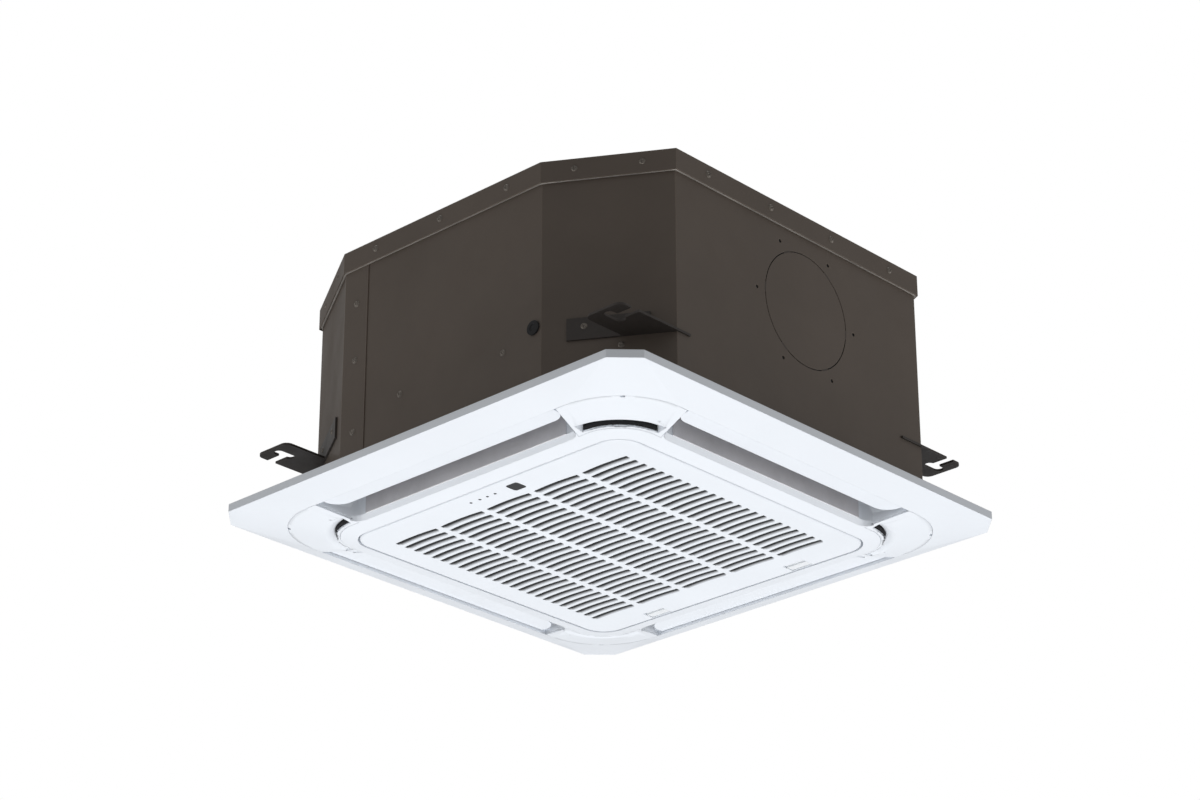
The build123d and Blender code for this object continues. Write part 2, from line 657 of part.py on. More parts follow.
def slot_places():
    """Middle of each slot's chord."""
    rows = [(row - (SLOT_ROWS - 1) / 2) * SLOT_PITCH_ACROSS for row in range(SLOT_ROWS)]
    columns = [(column - (SLOT_COLUMNS - 1) / 2) * SLOT_PITCH_ALONG for column in range(SLOT_COLUMNS)]
    return [(x, y) for x in rows for y in columns]


def grille_body():
    """The grille's face: rounded edge, shallow tray with a skirt, and the deep slotted field."""
    block = prism(ring_sketch(GRILLE_HALF, GRILLE_R), FACE_Z, FACE_Z + GRILLE_SKIRT)
    block = fillet(block.faces().sort_by(Axis.Z)[0].edges(), GRILLE_EDGE_R)
    block -= prism(ring_sketch(GRILLE_HALF, GRILLE_R, -GRILLE_T), FACE_Z + GRILLE_T, FACE_Z + GRILLE_SKIRT + EPS)
    field_x = SLOT_ROWS * SLOT_PITCH_ACROSS + 2 * FIELD_MARGIN
    field_y = SLOT_COLUMNS * SLOT_PITCH_ALONG + 2 * FIELD_MARGIN
    field = Rectangle(field_x, field_y)
    slot = slot_outline()
    slots = [Pos(x, y) * slot for x, y in slot_places()]
    window = Rectangle(field_x - 2, field_y - 2)
    block -= prism(window, FACE_Z - EPS, FACE_Z + GRILLE_T + EPS)
    return block + prism(field - slots, FACE_Z, FACE_Z + SLOT_DEPTH)


def intake_grille():
    """The whole grille, with its hinge knuckles, latch pockets and the holes for window and lenses."""
    body = grille_body()
    x_pivot = -GRILLE_HALF + HINGE_IN
    z_pivot = FACE_Z + HINGE_UP
    post_half = HINGE_POST_W / 2 + SLIDE_GAP
    for side in (-1, 1):
        y_mid = side * HINGE_Y
        body -= bar(-GRILLE_HALF - EPS, x_pivot + 2 * HINGE_POST_T, y_mid - post_half, y_mid + post_half,
                    FACE_Z + GRILLE_T, FACE_Z + GRILLE_SKIRT + EPS)
        for y_rib in (y_mid - post_half - HINGE_KNUCKLE_W / 2, y_mid + post_half + HINGE_KNUCKLE_W / 2):
            body += bar(x_pivot - HINGE_POST_T, x_pivot + HINGE_POST_T, y_rib - HINGE_KNUCKLE_W / 2,
                        y_rib + HINGE_KNUCKLE_W / 2, FACE_Z + GRILLE_T, z_pivot + HINGE_POST_T / 2)
        body += Pos(x_pivot, y_mid, z_pivot) * (Rot(90, 0, 0) * Cylinder(HINGE_PIN_R, 2 * post_half))
        body -= latch_pocket(side)
        body += latch_rails(side)
    body -= prism(window_outline(SEAT_GAP / 2), FACE_Z - EPS, FACE_Z + GRILLE_T + EPS)
    body -= [Pos(-LENS_X, y, 0) * rod(LENS_D / 2 + SEAT_GAP / 2, FACE_Z - EPS, FACE_Z + GRILLE_T + EPS)
             for y in LENS_PLACES]
    return body


def latch_pocket(side):
    """The hole in the face that a latch tab sits in, and the notch its tongue passes through."""
    x_out = GRILLE_HALF - LATCH_EDGE
    y_mid = side * LATCH_Y
    hole = bar(x_out - LATCH_TAB_W - LATCH_TRAVEL - SLIDE_GAP, x_out + SLIDE_GAP,
               y_mid - LATCH_TAB_L / 2 - SLIDE_GAP, y_mid + LATCH_TAB_L / 2 + SLIDE_GAP,
               FACE_Z - EPS, FACE_Z + GRILLE_T + EPS)
    z_mid = tongue_z()
    notch = bar(GRILLE_HALF - GRILLE_T - EPS, GRILLE_HALF + EPS, y_mid - TONGUE_W / 2 - SLIDE_GAP,
                y_mid + TONGUE_W / 2 + SLIDE_GAP, z_mid - TONGUE_T / 2 - SLIDE_GAP,
                z_mid + TONGUE_T / 2 + SLIDE_GAP)
    return hole + notch


def latch_rails(side):
    """Two hooked rails that hold a latch down on the face."""
    x_out = GRILLE_HALF - GRILLE_T
    x_in = x_out - LATCH_BODY_W - LATCH_TRAVEL
    low = FACE_Z + GRILLE_T
    high = low + LATCH_BODY_T + 2 * SLIDE_GAP
    rails = []
    for end in (-1, 1):
        y_face = side * LATCH_Y + end * (LATCH_BODY_L / 2 + SLIDE_GAP)
        y_back = y_face + end * 2 * RIB_T / 2
        y_hook = y_face - end * RIB_T
        rails.append(bar(x_in, x_out + EPS, min(y_face, y_back), max(y_face, y_back), low, high))
        rails.append(bar(x_in, x_out + EPS, min(y_hook, y_back), max(y_hook, y_back), high, high + RIB_T / 2))
    return Part() + rails


def grille_latch(side):
    """A sliding latch: tab in the face, body on the skin and tongue in the panel's wall."""
    x_out = GRILLE_HALF - LATCH_EDGE
    y_mid = side * LATCH_Y
    low = FACE_Z + GRILLE_T + SLIDE_GAP
    tab = bar(x_out - LATCH_TAB_W, x_out, y_mid - LATCH_TAB_L / 2, y_mid + LATCH_TAB_L / 2,
              FACE_Z + LATCH_RECESS, low)
    grip = bar(x_out - LATCH_TAB_W, x_out - LATCH_TAB_W + RIB_T, y_mid - LATCH_TAB_L / 2,
               y_mid + LATCH_TAB_L / 2, FACE_Z + LATCH_RECESS / 4, low)
    x_body = GRILLE_HALF - GRILLE_T - SLIDE_GAP
    body = bar(x_body - LATCH_BODY_W, x_body, y_mid - LATCH_BODY_L / 2, y_mid + LATCH_BODY_L / 2,
               low, low + LATCH_BODY_T)
    z_mid = tongue_z()
    tongue = bar(x_body - EPS, GRILLE_HALF + TONGUE_L, y_mid - TONGUE_W / 2, y_mid + TONGUE_W / 2,
                 z_mid - TONGUE_T / 2, z_mid + TONGUE_T / 2)
    tip = tongue.edges().filter_by(Axis.Y).group_by(Axis.X)[-1].sort_by(Axis.Z)[-1]
    tongue = chamfer(tip, TONGUE_T * 0.6)
    return tab + grip + body + tongue


def window_outline(grow=0.0):
    """The receiver window in plan."""
    width = WINDOW_W + 2 * grow
    return Pos(-WINDOW_X, WINDOW_Y) * RectangleRounded(width, width, WINDOW_R + grow)


def receiver_window():
    """The dark square lens, just behind the face, with a lip behind the skin."""
    skin = FACE_Z + GRILLE_T
    return prism(window_outline(), FACE_Z + SEAT_GAP / 2, skin) + prism(window_outline(1.0), skin, skin + 1)


def indicator_lenses():
    """Four small round light guides, flush with the face."""
    return [Pos(-LENS_X, y, 0) * (rod(LENS_D / 2, FACE_Z, FACE_Z + GRILLE_T)
            + rod(LENS_D / 2 + 0.8, FACE_Z + GRILLE_T, FACE_Z + GRILLE_T + 1)) for y in LENS_PLACES]


def display_case():
    """The case behind the window and the lenses, hollow, open towards the skin."""
    x_mid = -(WINDOW_X + LENS_X) / 2
    low = FACE_Z + GRILLE_T
    outer = bar(x_mid - CASE_W / 2, x_mid + CASE_W / 2, -CASE_L / 2, CASE_L / 2, low, low + CASE_H)
    outer = fillet(outer.edges().filter_by(Axis.Z), 3)
    inner = bar(x_mid - CASE_W / 2 + CASE_T, x_mid + CASE_W / 2 - CASE_T, -CASE_L / 2 + CASE_T,
                CASE_L / 2 - CASE_T, low - EPS, low + CASE_H - CASE_T)
    return outer - inner


def air_filter():
    """The filter: a frame with cross bars and a thin net, lying on the slotted field."""
    low = FACE_Z + SLOT_DEPTH
    frame = Rectangle(FILTER_W, FILTER_L) - Rectangle(FILTER_W - 2 * FILTER_BAR, FILTER_L - 2 * FILTER_BAR)
    pitch_x = FILTER_W / (FILTER_BARS + 1)
    pitch_y = FILTER_L / (FILTER_BARS + 1)
    half_count = (FILTER_BARS + 1) / 2
    for index in range(1, FILTER_BARS + 1):
        frame += Pos((index - half_count) * pitch_x, 0) * Rectangle(FILTER_BAR / 2, FILTER_L - FILTER_BAR)
        frame += Pos(0, (index - half_count) * pitch_y) * Rectangle(FILTER_W - FILTER_BAR, FILTER_BAR / 2)
    net = prism(Rectangle(FILTER_W - FILTER_BAR, FILTER_L - FILTER_BAR),
                low + FILTER_H / 2, low + FILTER_H / 2 + FILTER_NET_T)
    return prism(frame, low, low + FILTER_H) + net


# ---------------------------------------------------------------- casing

def casing_outline(half_x, half_y, inset=0.0):
    """The casing in plan, with broad cut corners, drawn in by an inset."""
    near, far = CUT_X_NEAR, CUT_X_FAR
    points = [(-half_x + near, -half_y), (half_x - far, -half_y), (half_x, -half_y + CUT_Y),
              (half_x, half_y - CUT_Y), (half_x - far, half_y), (-half_x + near, half_y),
              (-half_x, half_y - CUT_Y), (-half_x, -half_y + CUT_Y)]
    plain = Polygon(*points, align=None)
    return offset(plain, -inset, kind=Kind.INTERSECTION) if inset else plain


def casing_ring(inset, thickness, low, high):
    """An upright wall that follows the casing, its outer face in from the rim by an inset."""
    outer = casing_outline(RIM_X / 2, RIM_Y / 2, inset)
    inner = casing_outline(RIM_X / 2, RIM_Y / 2, inset + thickness)
    return prism(outer - inner, low, high)


def top_pan():
    """The top sheet with its down-turned rim, the sunk motor platform and four raised beads."""
    low, under = CASING_TOP_Z - RIM_DROP, CASING_TOP_Z - SHEET_T
    plate = prism(casing_outline(RIM_X / 2, RIM_Y / 2), under, CASING_TOP_Z)
    rim = casing_ring(0, SHEET_T, low, CASING_TOP_Z)
    fold = casing_ring(SHEET_T, RIM_OVERHANG - SHEET_T, under - SHEET_T, under)
    profile = Polygon((PLATFORM_R, 0), (PLATFORM_R, -SHEET_T), (PLATFORM_R - PLATFORM_DEPTH, -PLATFORM_DEPTH - SHEET_T),
                      (0, -PLATFORM_DEPTH - SHEET_T), (0, -PLATFORM_DEPTH),
                      (PLATFORM_R - PLATFORM_DEPTH - SHEET_T / 2, -PLATFORM_DEPTH), align=None)
    edge = PLATFORM_R - SHEET_T / 2
    dish = Pos(0, 0, CASING_TOP_Z) * revolve(Plane.XZ * profile, Axis.Z)
    plate -= prism(Circle(edge), under - EPS, CASING_TOP_Z + EPS)
    shell = plate + rim + fold + dish
    for angle in (45, 135, 225, 315):
        outer = SlotCenterToCenter(BEAD_TO - BEAD_FROM, BEAD_W)
        inner = SlotCenterToCenter(BEAD_TO - BEAD_FROM, BEAD_W - 2 * SHEET_T)
        place = Rot(0, 0, angle) * Pos((BEAD_TO + BEAD_FROM) / 2, 0, 0)
        bump = place * (Pos(0, 0, CASING_TOP_Z) * extrude(outer, BEAD_H, taper=35))
        hollow = place * (Pos(0, 0, under - EPS) * extrude(inner, BEAD_H + EPS, taper=30))
        shell = shell + bump - hollow
    return shell


def side_wrap(front):
    """One of the two side sheets. The front one covers -X and -Y, the other +X and +Y."""
    low, high = CASING_LOW_Z, CASING_TOP_Z - SHEET_T
    wall = casing_ring(RIM_OVERHANG, SHEET_T, low, high)
    flap = casing_ring(RIM_OVERHANG - SHEET_T, SHEET_T, low, CASING_TOP_Z - RIM_DROP)
    corner_y = SHEET_Y - CUT_Y
    size = RIM_X + RIM_Y
    seam = corner_y + RIM_OVERHANG / 2
    upper = Polygon((-size, seam), (0, seam), (0, -seam), (size, -seam), (size, size), (-size, size), align=None)
    lower = Polygon((-size, seam), (0, seam), (0, -seam), (size, -seam), (size, -size), (-size, -size), align=None)
    half = prism(lower if front else upper, low - EPS, high + EPS)
    lap = bar(0, RIM_X, -seam, -seam + LAP_W, low - EPS, high) if front else bar(
        -RIM_X, 0, seam - LAP_W, seam, low - EPS, high)
    link = bar(0, RIM_X, -seam - LAP_TUCK, -seam, low - EPS, high) if front else bar(
        -RIM_X, 0, seam, seam + LAP_TUCK, low - EPS, high)
    sheet = (wall & half) + (flap & (lap + link))
    return sheet


def front_wrap():
    """The front sheet, with the knock-out's slits, its screw holes and the grommet hole."""
    sheet = side_wrap(True)
    place = Pos(KNOCKOUT_X, -SHEET_Y, KNOCKOUT_Z) * Rot(90, 0, 0)
    slit_sweep = 360 / KNOCKOUT_TIES - KNOCKOUT_TIE_DEG
    slit_face = Plane.XZ * Pos(KNOCKOUT_R, 0) * Rectangle(KNOCKOUT_SLIT, 4 * SHEET_T)
    slit = revolve(slit_face, Axis.Z, slit_sweep)
    cuts = [place * Rot(0, 0, index * 360 / KNOCKOUT_TIES) * slit for index in range(KNOCKOUT_TIES)]
    hole = Pos(KNOCKOUT_PCD / 2, 0, 0) * Cylinder(KNOCKOUT_HOLE_R, 4 * SHEET_T)
    cuts += [place * Rot(0, 0, index * 360 / KNOCKOUT_HOLES) * hole for index in range(KNOCKOUT_HOLES)]
    cuts.append(Pos(-SHEET_X, GROMMET_Y, GROMMET_Z) * (Rot(0, 90, 0) * Cylinder(GROMMET_R - SHEET_T, 4 * SHEET_T)))
    return sheet - cuts


def rear_wrap():
    """The rear sheet, open where the pipes leave."""
    return side_wrap(False) - pipe_opening(SHEET_X - 4 * SHEET_T, RIM_X / 2)


def pipe_opening(x0, x1):
    """The upright opening that the pipes leave through, on +X."""
    half = PIPE_PLATE_W / 2 - PIPE_PLATE_LIP
    return bar(x0, x1, PIPE_Y - half, PIPE_Y + half, CASING_LOW_Z + PIPE_PLATE_LOW + PIPE_PLATE_LIP,
               CASING_LOW_Z + PIPE_PLATE_TOP - PIPE_PLATE_LIP)


def face_screws():
    """Round screw heads on the rim and on the side sheets."""
    heads = []
    head = cone_head(SCREW_R, SCREW_H)
    z_rim = CASING_TOP_Z - RIM_SCREW_DOWN
    outline = casing_outline(RIM_X / 2, RIM_Y / 2)
    for edge in outline.edges():
        along = edge @ 1 - edge @ 0
        count = max(2, round(along.length / RIM_SCREW_PITCH))
        heading = degrees(atan2(along.Y, along.X)) - 90
        for index in range(count):
            spot = edge @ ((index + 0.5) / count)
            outward = heading if spot.X * along.Y - spot.Y * along.X > 0 else heading + 180
            heads.append(Pos(spot.X, spot.Y, z_rim) * (Rot(0, 0, outward) * (Rot(0, 90, 0) * head)))
    x_lap = -SHEET_X - SHEET_T
    y_lap = SHEET_Y - CUT_Y + RIM_OVERHANG / 2 - LAP_W / 2
    side = [(-SHEET_X, -99.7, 8.6), (-SHEET_X, 62.8, 11.7)]
    side += [(sign * (SHEET_X + SHEET_T), -sign * y_lap, z) for sign in (-1, 1) for z in (-12.0, 78.0, 150.0)]
    for x, y, z in side:
        direction = 90 if x > 0 else -90
        heads.append(Pos(x, y, z) * (Rot(0, direction, 0) * head))
    for sx in (-1, 1):
        for sy in (-1, 1):
            start, end, outward = chamfer_line(sx, sy, 0.0)
            spot = start + (end - start) * (CUT_SCREW_SHARE if start.Y * sy > end.Y * sy else 1 - CUT_SCREW_SHARE)
            heads.append(Pos(spot.X, spot.Y, CUT_SCREW_Z) * (Rot(0, 0, outward) * (Rot(0, 90, 0) * head)))
    return heads


def cable_grommet():
    """The rubber grommet in the -X side, closed by its membrane."""
    flange = Cylinder(GROMMET_R, 2 * SHEET_T)
    neck = Cylinder(GROMMET_R - SHEET_T - SEAT_GAP, 2.4 * SHEET_T)
    dimple = Cylinder(GROMMET_R / 2, SHEET_T)
    shape = Pos(0, 0, SHEET_T) * flange - Pos(0, 0, 2 * SHEET_T) * dimple + neck
    return Pos(-SHEET_X, GROMMET_Y, GROMMET_Z) * (Rot(0, -90, 0) * shape)


def pipe_plate():
    """The cover plate over the pipe opening, with holes for the two pipes and the drain."""
    plate = bar(SHEET_X, SHEET_X + 1.2 * SHEET_T, PIPE_Y - PIPE_PLATE_W / 2, PIPE_Y + PIPE_PLATE_W / 2,
                CASING_LOW_Z + PIPE_PLATE_LOW, CASING_LOW_Z + PIPE_PLATE_TOP)
    plate = fillet(plate.edges().filter_by(Axis.X), PIPE_PLATE_LIP)
    for radius, height in ((GAS_R, GAS_Z), (LIQUID_R, LIQUID_Z), (DRAIN_R + DRAIN_COLLAR, DRAIN_Z)):
        hole = Rot(0, 90, 0) * Cylinder(radius + SEAT_GAP, 4 * SHEET_T)
        plate -= Pos(SHEET_X, PIPE_Y, CASING_LOW_Z + height) * hole
    return plate


# ---------------------------------------------------------------- hangers

def chamfer_line(sx, sy, out):
    """The ends of a cut corner's sheet face, moved outwards, and the way it faces in degrees."""
    outline = casing_outline(RIM_X / 2, RIM_Y / 2, RIM_OVERHANG - out)
    near_corner = [edge for edge in outline.edges()
                   if (edge @ 0.5).X * sx > RIM_X / 4 and (edge @ 0.5).Y * sy > RIM_Y / 4]
    slanted = max(near_corner, key=lambda edge: min(abs(edge.tangent_at(0.5).X), abs(edge.tangent_at(0.5).Y)))
    start, end = slanted @ 0, slanted @ 1
    outward = degrees(atan2((end - start).Y, (end - start).X)) - 90
    middle = (start + end) * 0.5
    facing_in = cos(radians(outward)) * middle.X + sin(radians(outward)) * middle.Y < 0
    return start, end, outward + 180 if facing_in else outward


def chamfer_band(sx, sy, share, depth):
    """A box in plan that straddles the middle of a cut corner."""
    start, end, outward = chamfer_line(sx, sy, 0.0)
    middle = (start + end) * 0.5
    return Pos(middle.X, middle.Y) * (Rot(0, 0, outward) * Rectangle(depth, (end - start).length * share))


def hanger_bracket(sx, sy):
    """A bent plate on a cut corner, with an open slot for an M10 rod."""
    slot_x, slot_y = sx * HANGER_PITCH_X / 2, sy * HANGER_PITCH_Y / 2
    tip_x = slot_x + sx * HANGER_TIP
    y_out, y_in = slot_y + sy * HANGER_PLATE_W / 2, slot_y - sy * HANGER_PLATE_W / 2
    x_in = slot_x - sx * HANGER_PITCH_X / 6
    plan = Polygon((tip_x, y_in), (tip_x, y_out), (x_in, y_out), (x_in, y_in), align=None)
    tips = plan.vertices().group_by(Axis.X)[-1 if sx > 0 else 0]
    plan = fillet(tips, HANGER_CORNER_R)
    casing = casing_outline(RIM_X / 2, RIM_Y / 2, RIM_OVERHANG)
    plate = prism(plan - casing, 0, HANGER_PLATE_T)
    plate = max(plate.solids(), key=lambda solid: solid.volume)
    slot = Pos(slot_x, slot_y) * SlotOverall(HANGER_SLOT_L, 2 * HANGER_SLOT_R)
    entry_x = slot_x - sx * HANGER_ENTRY_SHIFT
    entry = Pos(entry_x, slot_y + sy * HANGER_PLATE_W / 2) * Rectangle(2 * HANGER_SLOT_R, HANGER_PLATE_W)
    plate = Part() + plate - prism(slot, -EPS, HANGER_PLATE_T + EPS) - prism(entry, -EPS, HANGER_PLATE_T + EPS)
    outer = casing_outline(RIM_X / 2, RIM_Y / 2, RIM_OVERHANG - HANGER_PLATE_T)
    band = chamfer_band(sx, sy, HANGER_FLANGE_SHARE, 6 * HANGER_PLATE_T)
    flange = prism((outer - casing) & band, 0, HANGER_FLANGE_H)
    return plate + flange


def bracket_screws():
    """Two screw heads on the flange of each hanger bracket."""
    heads = []
    head = cone_head(SCREW_R, SCREW_H)
    for sx in (-1, 1):
        for sy in (-1, 1):
            start, end, outward = chamfer_line(sx, sy, HANGER_PLATE_T)
            for share in (0.32, 0.68):
                spot = start + (end - start) * share
                heads.append(Pos(spot.X, spot.Y, HANGER_FLANGE_H * 0.6) * (Rot(0, 0, outward) * (Rot(0, 90, 0) * head)))
    return heads


def corner_plates():
    """Small angle plates inside the casing's lower corners, which the panel screws into."""
    low = CASING_LOW_Z
    inside = RIM_OVERHANG + SHEET_T
    flange = casing_ring(inside, CORNER_PLATE_T, low, low + CORNER_FLANGE_H)
    floor = casing_ring(inside, CORNER_PLATE_REACH, low, low + CORNER_PLATE_T)
    plates = []
    for sx in (-1, 1):
        for sy in (-1, 1):
            x, y = corner_screw(sx, sy)
            region = prism(chamfer_band(sx, sy, CORNER_PLATE_SHARE, 3 * CORNER_PLATE_REACH), low - EPS,
                           low + CORNER_FLANGE_H + EPS)
            plate = (flange + floor) & region
            plates.append(plate - Pos(x, y, low) * Cylinder(PANEL_SCREW_R + PIN_GAP, 4 * CORNER_PLATE_T))
    return plates


def panel_screws():
    """The four screws that hold the panel to the corner plates."""
    top = CASING_LOW_Z + CORNER_PLATE_T + 4
    screw = rod(PANEL_SCREW_R, WEB_Z - EPS, top) + rod(PANEL_HEAD_R, WEB_Z - 3, WEB_Z)
    places = [corner_screw(sx, sy) for sx in (-1, 1) for sy in (-1, 1)]
    return [Pos(x, y, 0) * screw for x, y in places]


# ---------------------------------------------------------------- insulation and drain pan

def eps_liner():
    """The foam liner: a cup that lines the sides and the top."""
    inset = RIM_OVERHANG + SHEET_T + FOAM_GAP
    low, high = DRAIN_PAN_TOP_Z + FOAM_GAP, CASING_TOP_Z - SHEET_T - FOAM_GAP
    cup = prism(casing_outline(RIM_X / 2, RIM_Y / 2, inset), low, high)
    cup -= prism(casing_outline(RIM_X / 2, RIM_Y / 2, inset + LINER_T), low - EPS, high - LINER_T)
    cup -= prism(Circle(PLATFORM_R + 2 * SHEET_T), low, high + EPS)
    return cup - pipe_opening(SHEET_X - 3 * LINER_T, SHEET_X)


def drain_pan():
    """The foam drain pan: four ducts, the fan's well, the coil's trough and the pump's sump."""
    inset = RIM_OVERHANG + SHEET_T + FOAM_GAP
    low, high = CASING_LOW_Z, DRAIN_PAN_TOP_Z
    pan = prism(casing_outline(RIM_X / 2, RIM_Y / 2, inset), low, high)
    pan -= prism(Circle(FAN_WELL_R), low - EPS, high + EPS)
    for angle in QUARTER_TURNS:
        pan -= turned(prism(duct_outline(), low - EPS, high + EPS), angle)
    trough = ring_sketch(COIL_OUT, COIL_R, FOAM_GAP) - ring_sketch(COIL_OUT - COIL_T, COIL_R - COIL_T, -FOAM_GAP)
    pan -= prism(trough, COIL_LOW_Z, high + EPS)
    for x, y, radius in ((PUMP_X, PUMP_Y, PUMP_R + 2), (FLOAT_X, FLOAT_Y, FLOAT_R + SUMP_GAP)):
        pan -= Pos(x, y, 0) * rod(radius, high - SUMP_DEPTH, high + EPS)
    pocket = casing_ring(RIM_OVERHANG + SHEET_T, CORNER_PLATE_T + FOAM_GAP, low - EPS, low + CORNER_FLANGE_H + FOAM_GAP)
    ledge = casing_ring(RIM_OVERHANG + SHEET_T, CORNER_PLATE_REACH + FOAM_GAP, low - EPS, low + CORNER_PLATE_T + FOAM_GAP)
    for sx in (-1, 1):
        for sy in (-1, 1):
            share = CORNER_PLATE_SHARE + CORNER_PLATE_PLAY
            region = prism(chamfer_band(sx, sy, share, 3 * CORNER_PLATE_REACH), low - EPS,
                           low + CORNER_FLANGE_H + 2 * EPS)
            pan -= (pocket + ledge) & region
            x, y = corner_screw(sx, sy)
            pan -= Pos(x, y, 0) * rod(PANEL_SCREW_R + EPS, low - EPS, low + CORNER_PLATE_T + 6)
    return pan


# ---------------------------------------------------------------- coil

def coil_gap(grow=0.0):
    """The open +X +Y corner of the coil, in plan."""
    reach = 2 * COIL_OUT
    edge = COIL_END - grow
    return Polygon((edge, edge), (reach, edge), (reach, reach), (edge, reach), align=None)


def coil_fins():
    """The fin block, folded round the fan."""
    ring = ring_sketch(COIL_OUT, COIL_R) - ring_sketch(COIL_OUT - COIL_T, COIL_R - COIL_T)
    return prism(ring - coil_gap(END_PLATE_T), COIL_LOW_Z, COIL_LOW_Z + COIL_H)


def coil_end_plates():
    """The metal plates on the two ends of the fin block."""
    low, high = COIL_LOW_Z, COIL_LOW_Z + COIL_H
    inner = COIL_OUT - COIL_T
    plate = bar(inner - END_PLATE_LIP, COIL_OUT, COIL_END - END_PLATE_T, COIL_END, low + TROUGH_DEPTH, high)
    plate += bar(inner, COIL_OUT, COIL_END - END_PLATE_T, COIL_END, low, low + TROUGH_DEPTH)
    return [plate, across_diagonal(plate)]


def return_bends():
    """The coil's return bends, at both ends."""
    arc = revolve(Plane.XZ * Pos(BEND_R, 0) * Circle(TUBE_R), Axis.Z, 180)
    x_mid = COIL_OUT - COIL_T / 2
    bends = []
    for index in range(BEND_COUNT):
        z = CASING_LOW_Z + BEND_LOW + index * BEND_PITCH
        bend = Pos(x_mid, COIL_END, z) * arc
        bends += [bend, across_diagonal(bend)]
    return bends


def bent_pipe(radius, height, bend, x_out):
    """A pipe from the coil's end, turned out through the +X side."""
    x_start = COIL_OUT - COIL_T / 2
    z = CASING_LOW_Z + height
    path = FilletPolyline((x_start, COIL_END, z), (x_start, PIPE_Y, z), (x_out, PIPE_Y, z), radius=bend)
    return sweep(Plane((x_start, COIL_END, z), z_dir=(0, 1, 0)) * Circle(radius), path=path)


def refrigerant_pipes():
    """The gas and the liquid pipe."""
    x_out = SHEET_X + PIPE_OUT
    return [bent_pipe(GAS_R, GAS_Z, 2.2 * GAS_R, x_out), bent_pipe(LIQUID_R, LIQUID_Z, 3 * LIQUID_R, x_out)]


def flare_nut(across, length, bore, height):
    """A flare nut over the end of a pipe, with the mating pipe's bore in its outer end."""
    x_end = SHEET_X + PIPE_OUT
    body = extrude(hexagon(across), length * 0.6) + extrude(Circle(across * 0.42), length)
    nut = body - Pos(0, 0, -EPS) * extrude(Circle(bore), length + 2 * EPS)
    nut -= Pos(0, 0, -EPS) * extrude(Circle(bore + SEAT_GAP), length * 0.4 + SEAT_GAP + EPS)
    return Pos(x_end - length * 0.4, PIPE_Y, CASING_LOW_Z + height) * (Rot(0, 90, 0) * nut)


def flare_nuts():
    """Both nuts."""
    return [flare_nut(NUT_GAS_AF, NUT_GAS_L, GAS_R + PIN_GAP, GAS_Z),
            flare_nut(NUT_LIQUID_AF, NUT_LIQUID_L, LIQUID_R + PIN_GAP, LIQUID_Z)]


# ---------------------------------------------------------------- air mover

def bell_mouth():
    """The plate under the fan, with a flared throat that leads into the wheel."""
    low = CASING_LOW_Z - BELL_T
    plate = prism(ring_sketch(BELL_PLATE_W / 2, GRILLE_R) - Circle(BELL_MOUTH_R), low, CASING_LOW_Z)
    bend = BELL_MOUTH_R - BELL_THROAT_R
    z0, z1 = low, CASING_LOW_Z + BELL_H
    lower = ThreePointArc((BELL_MOUTH_R, z0), (BELL_THROAT_R + bend * 0.293, z0 + bend * 0.293), (BELL_THROAT_R, z0 + bend))
    upper = ThreePointArc((BELL_THROAT_R + BELL_T, z0 + bend), (BELL_THROAT_R + bend * 0.293 + BELL_T * 0.707,
                          z0 + bend * 0.293 + BELL_T * 0.707), (BELL_MOUTH_R, z0 + BELL_T))
    edges = [lower, Line((BELL_THROAT_R, z0 + bend), (BELL_THROAT_R, z1)),
             Line((BELL_THROAT_R, z1), (BELL_THROAT_R + BELL_T, z1)),
             Line((BELL_THROAT_R + BELL_T, z1), (BELL_THROAT_R + BELL_T, z0 + bend)), upper,
             Line((BELL_MOUTH_R, z0 + BELL_T), (BELL_MOUTH_R, z0))]
    return plate + revolve(Plane.XZ * make_face(edges), Axis.Z)


def shroud_profile(lift):
    """Where the fan's shroud runs, as a curve from the inlet to the rim."""
    z0, z1 = CASING_LOW_Z + FAN_SHROUD_LOW + lift, CASING_LOW_Z + FAN_SHROUD_TOP + lift
    return (FAN_INLET_R, z0), (FAN_INLET_R + (FAN_R - FAN_INLET_R) * 0.30, z0 + (z1 - z0) * 0.72), (FAN_R, z1)


